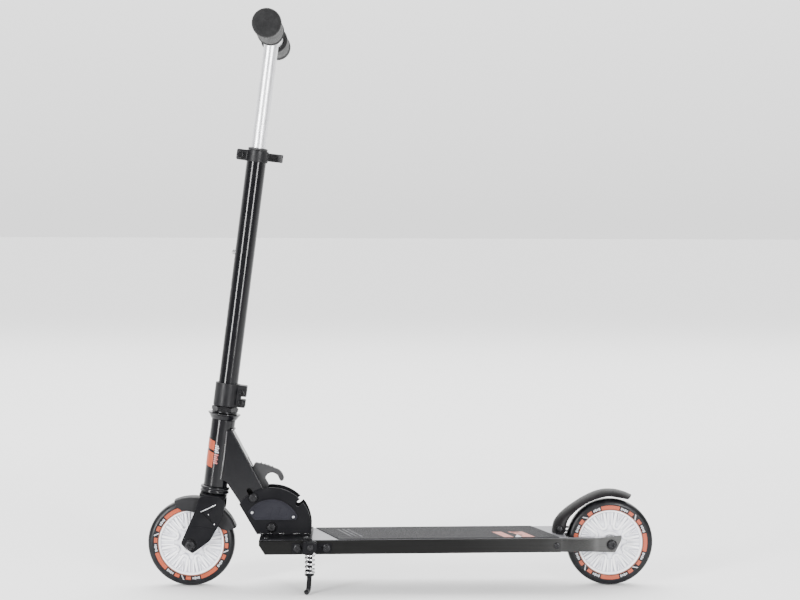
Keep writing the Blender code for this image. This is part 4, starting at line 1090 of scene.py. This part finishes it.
def handlebars():
    for name, side in SIDES:
        low, high = sorted((side * 14.0, side * 171.0))
        bar = turned("bar_" + name, tube_profile(BAR_R, BAR_BORE, high, low), (0, 0, BAR_S), "Y",
                     STEER, 0.4, 96)
        hole = drum("hole", SNAP_BORE, -20, -5, (0, side * SNAP_Y, BAR_S), "Z", STEER)
        dress(cut(bar, hole), "handlebar", BAR_SILVER, "handlebar_" + name)
        profile = [(0, 171.4), (BAR_R + 0.3, 171.4), (BAR_R + 0.3, 52.0), (15.4, 52.0),
                   (17.6, 52.7), (18.6, 54.8), (18.6, 57.2), (17.4, 59.2), (16.6, 61.5),
                   (17.0, 66.0), (17.9, 84.0), (18.4, 105.0), (18.2, 126.0), (17.4, 146.0),
                   (16.8, 154.0), (17.6, 157.6), (18.9, 160.2), (19.2, 163.0), (19.2, 169.4),
                   (18.6, 172.4), (16.6, 174.4), (13.6, 174.8), (4.6, 174.8), (3.6, 174.0),
                   (0, 174.0)]
        grip = turned("foam_grip_" + name, [(r, side * y) for r, y in profile],
                      (0, 0, BAR_S), "Y", STEER, 1.4, 96)
        dress(grip, "handlebar", FOAM, "grip_" + name)
        button = turned("snap_pin_" + name, [(0, -6.0), (2.9, -6.0), (2.9, -13.4), (2.2, -14.7),
                                             (1.0, -15.0), (0, -15.0)],
                        (0, side * SNAP_Y, BAR_S), "Z", STEER, 0.5, 48)
        dress(button, "snap_" + name, STEEL, "snap_button_" + name)


inner_tube()
handlebars()


# ---------------------------------------------------------------- deck

DECK_HALF_W, DECK_H, DECK_WALL = 50.0, 19.6, 3.0
DECK_FRONT, DECK_REAR = -195.0, 225.0
LIP_END, WALL_END = 263.0, 217.0
ARM_FROM, ARM_TO = 210.0, 274.0
ARM_WIDE, ARM_NARROW, ARM_T = 47.2, 28.0, 3.0
FLANGE_FROM, FLANGE_TO, FLANGE_IN = 229.0, 302.0, 14.0
FLANGE_SIDE = [(FLANGE_FROM, 67.3), (FLANGE_TO, 67.3), (FLANGE_TO, 69.2), (FLANGE_FROM, 69.2)]
TIE = (211.6, 0, 62.5)
STAND_BOLTS, STAND_BOLT_Z = (-142.3, -102.9), 60.0


def deck_section(top, bottom):
    """The extrusion's cross-section: a plate, two side walls and two ribs, open below."""
    half = DECK_HALF_W
    inner = half - DECK_WALL
    right = [(half - 2.2, top), (half - 1.2, top - 0.2), (half - 0.35, top - 0.85),
             (half, top - 2), (half, bottom + 1.2), (half - 0.4, bottom + 0.3),
             (half - 1.2, bottom), (inner + 0.8, bottom), (inner, bottom + 0.8),
             (inner, -DECK_WALL - 1.4), (inner - 1.4, -DECK_WALL), (23.2, -DECK_WALL),
             (22, -DECK_WALL - 1.2), (22, -13.4), (21.3, -14), (20.2, -14), (19.5, -13.4),
             (19.5, -DECK_WALL - 1.2), (18.3, -DECK_WALL)]
    return right + [(-y, z) for y, z in reversed(right)]


def arm_plan(side):
    """One pinched wall seen from above."""
    def face(offset):
        points = [(150.0, ARM_WIDE - offset)]
        for i in range(25):
            t = i / 24
            points.append((mix(ARM_FROM, ARM_TO, t),
                           mix(ARM_WIDE, ARM_NARROW, ease(t)) - offset))
        points.append((310.0, ARM_NARROW - offset))
        return points
    outline = face(0) + face(ARM_T)[::-1]
    return [(x, side * y) for x, y in outline]


def flange_plan(side):
    """The flange on top of a pinched wall, seen from above: it reaches in to the wheel."""
    outer = [(FLANGE_FROM, ARM_WIDE - 4.0)]
    outer += [(x, y - 0.6) for x, y in arm_plan(1)[:26] if FLANGE_FROM < x < FLANGE_TO]
    outer.append((FLANGE_TO, ARM_NARROW - 0.6))
    outline = [(FLANGE_FROM, FLANGE_IN), (FLANGE_TO, FLANGE_IN)] + outer[::-1]
    return [(x, side * y) for x, y in outline]


def deck():
    length = LIP_END - DECK_FRONT
    body = plate("deck_body", deck_section(0, -DECK_H), length,
                 ((LIP_END + DECK_FRONT) / 2, 0, 0), "X", DECK)
    gaps = [box("gap", (DECK_REAR, -45.5, -30), (LIP_END + 5, 45.5, 5), DECK),
            box("gap", (WALL_END, -55, -30), (LIP_END + 5, 55, -2.6), DECK),
            plate("chin", [(-200, 63.5), (-195.3, 63.5), (-185.8, 49.0), (-185.8, 40),
                           (-200, 40)], 110),
            drum("tie", BOLT_BORE, -60, 60, TIE, "Y")]
    gaps += [drum("stand", BOLT_BORE, -60, -40, (x, 0, STAND_BOLT_Z), "Y") for x in STAND_BOLTS]
    body = bevelled(cut(body, *gaps), 0.5, 2)
    skin = box("skin", (DECK_FRONT + 0.6, -48.4, -0.6), (DECK_REAR + 0.4, 48.4, 0.12), DECK, 0.1,
               1)
    dress(skin, "deck", DECK_TOP)
    prongs = [box("prong", (DECK_REAR - 1, low, -0.6), (LIP_END - 0.5, high, 0.12), DECK, 0.1, 1)
              for low, high in ((-49.4, -46.0), (46.0, 49.4))]
    dress(merged("deck_prong_tops", prongs), "deck", DECK_TOP)

    side_shape = [(160, 56), (213, 53.6), (240, 52.2), (270, 49.8), (294.6, 49.0), (303, 66.0),
                  (303.7, 72.8), (274, 69.3), (160, 69.3)]
    arms, flanges = [], []
    for side in (-1, 1):
        arm = plate("arm", arm_plan(side), 60, (0, 0, 60), "Z")
        arm = boolean(arm, [plate("arm_side", soften(side_shape, 1.6), 120)], "INTERSECT")
        hole = drum("hole", AXLE_BORE, -60, 60, REAR_AXLE, "Y")
        arm = bevelled(cut(arm, hole), 0.5, 2)
        arms += [arm, axle_boss(side, ARM_NARROW, REAR_AXLE)]
        flange = plate("flange", flange_plan(side), 60, (0, 0, 60), "Z")
        flange = boolean(flange, [plate("flange_side", FLANGE_SIDE, 120)], "INTERSECT")
        flanges.append(bevelled(flange, 0.4, 2))
    dress(merged("deck_arm_flanges", flanges), "deck", POLISHED)
    dress(merged("deck_extrusion", [body, *arms]), "deck", DECK_SIDE, "deck")
    tie = turned("tie_bolt", mirrored([
        (0, 52.3), (3.6, 52.2), (4.4, 51.6), (4.4, 50.3), (2.5, 50.3)]), TIE, "Y", round_=0.4)
    socket = drum("socket", 1.7, -54, -51.0, TIE, "Y", steps=6)
    dress(cut(tie, socket), "deck", DARK, "deck_tie_rod")


def grip_tape():
    outline = soften([(-86.0, -47.2), (216.0, -47.2), (184.5, 47.2), (-119.5, 47.2)], 1.5)
    tape = plate("tape", outline, 0.8, (0, 0, 0.7), "Z", DECK, 0.15, 1)
    dress(tape, "deck", GRIT, "grip_tape")

    def slanted(x, y, long, wide, lean=-0.333):
        return [(x + lean * b, y + b) if a == 0 else (x + long + lean * b, y + b)
                for a, b in ((0, 0), (1, 0), (1, wide), (0, wide))]
    orange = [slanted(140, -44, 13, 42), slanted(165, -44, 17, 42), slanted(151, -10, 14, 8)]
    pale = [slanted(155, -44, 8, 20, 0.2)]
    grey = [slanted(-70 + 7 * i, -30, 3.4, 60) for i in range(3)]
    for name, shapes, finish in (("pale", pale, PALE_PRINT), ("orange", orange, ORANGE),
                                 ("grey", grey, BADGE)):
        films = [plate("film", shape, 0.1, (0, 0, 1.14), "Z", DECK) for shape in shapes]
        dress(merged("tape_print_" + name, films), "deck", finish, slot="tape")


deck()
grip_tape()
axle_bolt("rear_axle_screw", "rear_axle", REAR_AXLE, ARM_NARROW, 2 * ARM_NARROW + 8.5, "deck")


# ---------------------------------------------------------------- fold bracket

BRACKET_R, PLATE_Y, PLATE_T = 54.8, 15.5, 3.0
STOW_ANGLE = math.radians(41.5)
BADGE_Y = PLATE_Y + PLATE_T + GAP


def rim_notch(angle):
    """The open sides and round bottom of a notch, going anticlockwise along the rim."""
    seat = FOLD_AT + Vector((math.cos(angle), math.sin(angle))) * LOCK_R
    side = Vector((-math.sin(angle), math.cos(angle))) * NOTCH_HALF
    reach = math.sqrt(BRACKET_R ** 2 - NOTCH_HALF ** 2) - LOCK_R
    out = Vector((math.cos(angle), math.sin(angle))) * reach
    degrees = math.degrees(angle)
    bottom = arc(seat, NOTCH_HALF, degrees - 90, degrees - 270, 16)
    return [tuple(seat - side + out), *bottom, tuple(seat + side + out)]


def bracket_outline():
    base_z = 73.2
    low = math.degrees(math.asin((base_z - PIVOT.z) / BRACKET_R))
    half = math.degrees(math.asin(NOTCH_HALF / BRACKET_R))
    stow, lock = math.degrees(STOW_ANGLE), math.degrees(LOCK_ANGLE)
    outline = arc(FOLD_AT, BRACKET_R, low, stow - half, 20)[:-1] + rim_notch(STOW_ANGLE)
    outline += arc(FOLD_AT, BRACKET_R, stow + half, lock - half, 36)[1:-1] + rim_notch(LOCK_ANGLE)
    outline += arc(FOLD_AT, BRACKET_R, lock + half, 144.5, 10)[1:] + [(-199.2, base_z)]
    return outline


def fold_bracket():
    welds = []
    hole = arc(FOLD_AT, AXLE_BORE, 0, 352, 44)
    for name, side in SIDES:
        face = plate("bracket", [bracket_outline(), hole], PLATE_T,
                     (0, side * (PLATE_Y + PLATE_T / 2), 0), edge=0.55)
        dress(face, "deck", SATIN, "bracket_plate_" + name)
        for start, end in ((-196, -190), (-184, -178), (-169, -162), (-149, -139), (-134, -127)):
            toe = [(x, side * (PLATE_Y + PLATE_T + 0.2), 74.2) for x in (start, end)]
            welds.append(weld_bead("foot_weld", toe, 1.1, 2.2))
    dress(merged("bracket_foot_welds", welds), "deck", WELD, slot="satin_black")
    base = box("bracket_foot", (-194.6, -49.2, 0.3), (-122.5, 49.2, 2.0), DECK, 0.7, 3)
    heads = [cap_bolt_up((x, y, 2.0)) for x in (-186, -132) for y in (-40, 40)]
    dress(merged("bracket_foot_plate", [base]), "deck", SATIN, "bracket_base")
    dress(merged("bracket_screws", heads), "deck", DARK)


def cap_bolt_up(at):
    head = turned("head", [(0, 1.9), (2.4, 1.8), (4.0, 1.0), (4.3, -0.3), (0, -0.3)], at, "Z",
                  DECK, 0.4, 40)
    return cut(head, drum("socket", 1.6, 0.7, 3, at, "Z", DECK, steps=6))


def badges():
    outline = arc(FOLD_AT, 39, 22, 146, 40) + [(-203.5, 94.5), (-201.5, 93.3), (-145.5, 93.3)]
    outline = soften(outline, 1.2, steps=2)
    for name, side in SIDES:
        cover = plate("cover", outline, 1.8, (0, side * (BADGE_Y + 0.9), 0), edge=0.5)
        rim = inset(outline, -2.6, closed=True)
        path = [(x, side * (BADGE_Y + 1.75), z) for x, z in rim]
        bead = rods("bead", [path + path[:1]], 0.35, 3)
        stripes = []
        for i in range(3):
            x = -186.0 + 11 * i
            bar = [(x, 99), (x + 5, 99), (x + 9, 111), (x + 4, 111)]
            stripes.append(plate("stripe", soften(bar, 0.6, steps=2), 0.5,
                                 (0, side * (BADGE_Y + 1.95), 0), edge=0.15))
        dress(merged("badge_cover_" + name, [cover, bead, *stripes]), "deck", BADGE,
              "badge_" + name)
        screws = []
        for x, z in ((-205.6, 103.6), (-149.0, 97.4)):
            head = turned("head", [(0, side * 1.0), (1.5, side * 0.9), (2.1, side * 0.2),
                                   (2.1, -side * 0.3), (0, -side * 0.3)],
                          (x, side * (BADGE_Y + 1.8), z), "Y", round_=0.2, steps=32)
            slots = [box("slot", (x - a, -30, z - b), (x + a, 30, z + b))
                     for a, b in ((1.4, 0.25), (0.25, 1.4))]
            mid = side * (BADGE_Y + 2.3)
            near, far = sorted((mid, side * 40))
            reach = box("reach", (x - 2, near, z - 2), (x + 2, far, z + 2))
            cross = boolean(join(*slots), [reach], "INTERSECT")
            screws.append(cut(head, cross))
        dress(merged("badge_screws_" + name, screws), "deck", STEEL, slot="dark_steel")


def fold_pivot():
    shell = PLATE_Y + PLATE_T
    bolt = cap_bolt("fold_screw", (PIVOT.x, -shell - GAP, PIVOT.z), 2 * shell + 8, 4.0, 6.8, 4.0,
                    2.7)
    dress(bolt, "deck", DARK, "fold_pivot_bolt")
    nut = hex_nut("fold_locknut", (PIVOT.x, shell + GAP, PIVOT.z), 6.5, 7.5, AXLE_BORE)
    dress(nut, "deck", DARK, "fold_pivot_nut")


fold_bracket()
badges()
fold_pivot()


# ---------------------------------------------------------------- kickstand

PLATE_OUT = -DECK_HALF_W - GAP
EYE_IN, EYE_OUT = -57.8, -66.2
STAND_Y, CHEEK_T = -62.5, 2.6


def stand_plate():
    x, z = STAND_PIVOT.x, STAND_PIVOT.z
    base = box("base", (-150.0, PLATE_OUT - 2.4, 53.2), (-96.0, PLATE_OUT, 66.4), bevel=1.0)
    cheek = arc((x, z), 8.4, 270, 360, 12) + [(x + 8.4, 68.6), (x + 5, 70.4), (x - 9.5, 70.4),
                                              (x - 9.5, z - 8.3)]
    inner_in, outer_in = EYE_IN + GAP, EYE_OUT - GAP
    cheek = soften(cheek, 0.8, steps=2)
    inner = plate("cheek", cheek, PLATE_OUT - 1 - inner_in,
                  (0, (PLATE_OUT - 1 + inner_in) / 2, 0), edge=0.5)
    outer = plate("cheek", cheek, CHEEK_T, (0, outer_in - CHEEK_T / 2, 0), edge=0.6)
    wall = box("wall", (x - 9.3, outer_in - 1, z - 8.0), (x - 6.8, inner_in + 1, 70.0), bevel=0.5)
    stiffener = plate("stiffener", [(x + 7, 63.0), (-98.5, 56.0), (-98.5, 54.4), (x + 7, 54.4)],
                      1.2, (0, PLATE_OUT - 2.9, 0), edge=0.3)
    dress(merged("stand_yoke", [base, inner, outer, wall, stiffener]), "deck", SATIN,
          "stand_plate")
    for name, at in zip(("front", "rear"), STAND_BOLTS):
        screw = cap_bolt("stand_screw_" + name, (at, PLATE_OUT - 2.7, STAND_BOLT_Z), 10, 2.5, 5.6,
                         1.8, 2.2)
        dress(screw, "deck", DARK, "stand_bolt_" + name)
    pin = turned("stand_pin", [
        (0, 17.0), (2.5, 17.0), (2.5, 0.0), (4.2, 0.0), (4.0, -0.9), (3.0, -1.5), (0, -1.7)],
        (x, EYE_OUT - 0.6 - CHEEK_T, z), "Y", round_=0.4)
    dress(pin, "deck", DARK, "stand_pivot_pin")


def stand_leg():
    x, z = STAND_PIVOT.x, STAND_PIVOT.z
    path = smooth_path([(x, STAND_Y, z - 2), (x - 1.2, STAND_Y, 27), (x - 2.0, STAND_Y - 0.4, 11),
                        (x - 2.6, STAND_Y - 1.6, 6.5), (x - 3.8, STAND_Y - 4.6, 4.0),
                        (x - 5.2, STAND_Y - 9.0, 3.62)], 8)
    leg = rods("leg", [path], 3.3, 8)
    foot = rods("foot", [path[-14:]], 3.45, 8)
    eye = box("eye", (x - 4.5, EYE_OUT, z - 8), (x + 4.5, EYE_IN, z + 3.2), bevel=1.4, segments=4)
    seat = turned("seat", [(0, 26.6), (6.4, 26.6), (6.4, 24.8), (4.0, 23.6), (0, 23.6)],
                  (x - 1.25, STAND_Y, 0), round_=0.4)
    collar = turned("collar", [(0, 54.6), (4.4, 54.6), (4.4, 52.2), (0, 52.2)],
                    (x - 0.2, STAND_Y, 0), round_=0.5)
    dress(merged("stand_rod", [leg, eye, seat, collar]), "stand", SATIN,
          "kickstand_leg")
    dress(foot, "stand", PLASTIC)
    top, bottom, turns = z - 9.6, 28.0, 5.5

    def winding(t):
        tight = 0.16
        u = t / turns
        rise = ease(u / tight) * 0.06 if u < tight else 0.06 + (u - tight) * 0.88 / (1 - 2 * tight)
        if u > 1 - tight:
            rise = 1 - ease((1 - u) / tight) * 0.06
        return (x - 0.6 + 5.7 * math.cos(t * math.tau), STAND_Y + 5.7 * math.sin(t * math.tau),
                top + (bottom - top) * rise)
    spring = rods("stand_coil", [[winding(i / 40) for i in range(int(turns * 40) + 1)]], 1.6, 5)
    dress(spring, "stand", CHROME, "kickstand_spring")


stand_plate()
stand_leg()


# ---------------------------------------------------------------- rear brake

FENDER_HALF, FENDER_T = 19.0, 2.0
FENDER_TOP = [(209.7, 74.5), (210.6, 83.0), (213.6, 91.0), (219.5, 98.6), (228.0, 106.2),
              (237.2, 112.9), (246.0, 118.7), (254.9, 123.8), (263.6, 128.0), (272.5, 131.4),
              (280.8, 133.2), (289.1, 133.6), (296.4, 133.2), (303.3, 131.9), (311.8, 129.2),
              (319.9, 125.8)]
FENDER_EDGE = [(219.0, 73.6), (225.0, 75.0), (226.8, 79.0), (228.2, 87.0), (231.6, 95.0),
               (238.5, 102.8), (245.9, 109.0), (256.9, 116.2), (267.9, 121.0), (279.0, 124.2),
               (287.6, 125.4), (300.0, 123.7), (312.5, 121.6)]


def resampled(points, count):
    """Points at even distances along a smooth curve through the given ones."""
    fine = smooth_path([(x, z, 0) for x, z in points], 12)
    lengths = [0.0]
    for a, b in zip(fine, fine[1:]):
        lengths.append(lengths[-1] + (b - a).length)
    made, leg = [], 0
    for i in range(count):
        at = lengths[-1] * i / (count - 1)
        while leg < len(lengths) - 2 and lengths[leg + 1] < at:
            leg += 1
        t = (at - lengths[leg]) / (lengths[leg + 1] - lengths[leg])
        spot = fine[leg].lerp(fine[leg + 1], t)
        made.append((spot.x, spot.y))
    return made


def brake_fender():
    """A pressed channel over the tyre: round shoulders, and a small bead along its edges."""
    count = 72
    top, edge = resampled(FENDER_TOP, count), resampled(FENDER_EDGE, count)
    sections, beads = [], {-1: [], 1: []}
    for (tx, tz), (ex, ez) in zip(top, edge):
        down = Vector((ex - tx, ez - tz))
        deep = down.length
        down.normalize()
        half = [(deep * (1 - math.cos(math.radians(a)) ** 1.15),
                 FENDER_HALF * math.sin(math.radians(a))) for a in range(90, -1, -9)]
        whole = half + [(d, -y) for d, y in half[-2::-1]]
        sections.append([(tx + down.x * d, y, tz + down.y * d) for d, y in whole])
        for side in beads:
            lip = Vector((ex, ez)) - down * 0.7
            beads[side].append((lip.x, side * (FENDER_HALF - 0.8), lip.y))
    shell = loft("channel", sections, FENDER_T)
    edges = rods("edges", [beads[-1][2:], beads[1][2:]], 0.9, 4)
    dress(merged("brake_channel", [shell, edges]), "brake", FENDER, "brake_fender")


def brake_hinge():
    x, z = BRAKE_PIVOT.x, BRAKE_PIVOT.z
    base = box("base", (213.4, -16.6, 0.3), (224.4, 16.6, 1.3), DECK, 0.3, 2)
    lugs = []
    for side in (-1, 1):
        outline = [(x - 5, 73.0), (x + 5, 73.0)] + arc((x, z), 5.0, 0, 180, 18)
        hole = arc((x, z), 2.85, 0, 350, 28)
        lugs.append(plate("lug", [outline, hole], 2.4, (0, side * 15.3, 0), edge=0.4))
    dress(merged("brake_lugs", [base, *lugs]), "deck", SATIN, "brake_bracket")
    pin = turned("hinge_pin", mirrored([
        (0, 21.2), (3.4, 21.1), (4.0, 20.5), (4.0, 19.3), (2.5, 19.3)]), (x, 0, z), "Y",
        round_=0.4)
    dress(pin, "deck", DARK, "brake_pin")
    turns = 6
    winding = [(x + 4.6 * math.cos(i / 36 * math.tau), -5 + 10 * i / 36 / turns,
                z + 4.6 * math.sin(i / 36 * math.tau)) for i in range(turns * 36 + 1)]
    first = [(x + 4.8, -5.3, z - 5.6), (x + 4.75, -5.2, z - 2.6)]
    last = [(x + 4.9, 5.2, z + 4.0), (x + 5.6, 5.4, z + 9.0), (x + 13.0, 5.6, z + 18.0)]
    spring = rods("hinge_spring", [smooth_path(first + winding[::3] + last, 3)], 0.8, 4)
    dress(spring, "deck", DARK, "brake_spring", slot="steel")


brake_fender()
brake_hinge()


# ---------------------------------------------------------------- floor, light, camera

BEHIND, IN_FRONT = 2.3, 0.40    # brightness of the sweep behind the object and of the room
LAMPS = (("top", (0.0, 2.6, 3.6), (8.0, 5.6), 250),
         ("key", (-2.0, -2.35, 1.0), (0.42, 2.0), 165),
         ("fill", (1.2, -2.6, 0.75), (0.42, 1.7), 110))


# Where the camera stands, in metres, and how far it is turned, in degrees
EYE_AT = (-0.0674, -2.5207, 0.511)
YAW, PITCH, ROLL = 1.47, 2.62, 0.2
LENS, SENSOR = 82.24, 36.0


def stage():
    mesh = bpy.data.meshes.new("floor")
    mesh.from_pydata([(-40, -40, 0), (40, -40, 0), (40, 40, 0), (-40, 40, 0)], [], [(0, 1, 2, 3)])
    floor = add("floor", mesh, Matrix.Translation((0, 0, -0.0004)))
    look = Look("pale_floor", (0.86, 0.86, 0.86), 0.8, Specular_IOR_Level=0.2)
    # Painted light and shade on the floor: paler behind the object, so that it meets the backdrop
    # without a seam, and dark in front of it, where it shows only in reflections
    look.paint(gradient(look.tree, look.place, "Y", (-1.6, 0.20), (-0.3, 0.84), (0.3, 0.84),
                        (1.6, 0.97)))
    mesh.materials.append(look.material)

    world = bpy.data.worlds.new("studio")
    bpy.context.scene.world = world
    world.use_nodes = True
    tree = world.node_tree
    where = tree.nodes.new("ShaderNodeTexCoord").outputs["Generated"]
    light = gradient(tree, where, "Y", (-1.0, IN_FRONT / BEHIND), (-0.1, IN_FRONT / BEHIND),
                     (0.45, 1.0), (1.0, 1.0))
    sweep = gradient(tree, where, "Z", (-1.0, 0.72), (0.0, 0.74), (0.12, 0.95), (0.4, 1.1),
                     (0.75, 2.2))
    background = tree.nodes["Background"]
    tree.links.new(multiplied(tree, light, sweep), background.inputs["Color"])
    background.inputs["Strength"].default_value = BEHIND
    for name, at, size, watts in LAMPS:
        light = bpy.data.lights.new(name, "AREA")
        light.energy = watts
        light.shape = "RECTANGLE"
        light.size, light.size_y = size
        lamp = bpy.data.objects.new(name, light)
        bpy.context.scene.collection.objects.link(lamp)
        lamp.location = at
        aim = Vector((0, 0, 0.3)) - Vector(at)
        lamp.rotation_euler = aim.to_track_quat("-Z", "Y").to_euler()


def camera():
    data = bpy.data.cameras.new("camera")
    data.lens = LENS
    data.sensor_width = SENSOR
    eye = bpy.data.objects.new("camera", data)
    bpy.context.scene.collection.objects.link(eye)
    yaw, pitch, roll = (math.radians(a) for a in (YAW, PITCH, ROLL))
    eye.matrix_world = (Matrix.Translation(EYE_AT)
                        @ Matrix.Rotation(-yaw, 4, "Z")
                        @ Matrix.Rotation(math.pi / 2 - pitch, 4, "X")
                        @ Matrix.Rotation(roll, 4, "Z"))
    bpy.context.scene.camera = eye


stage()
camera()
bpy.context.view_layer.update()
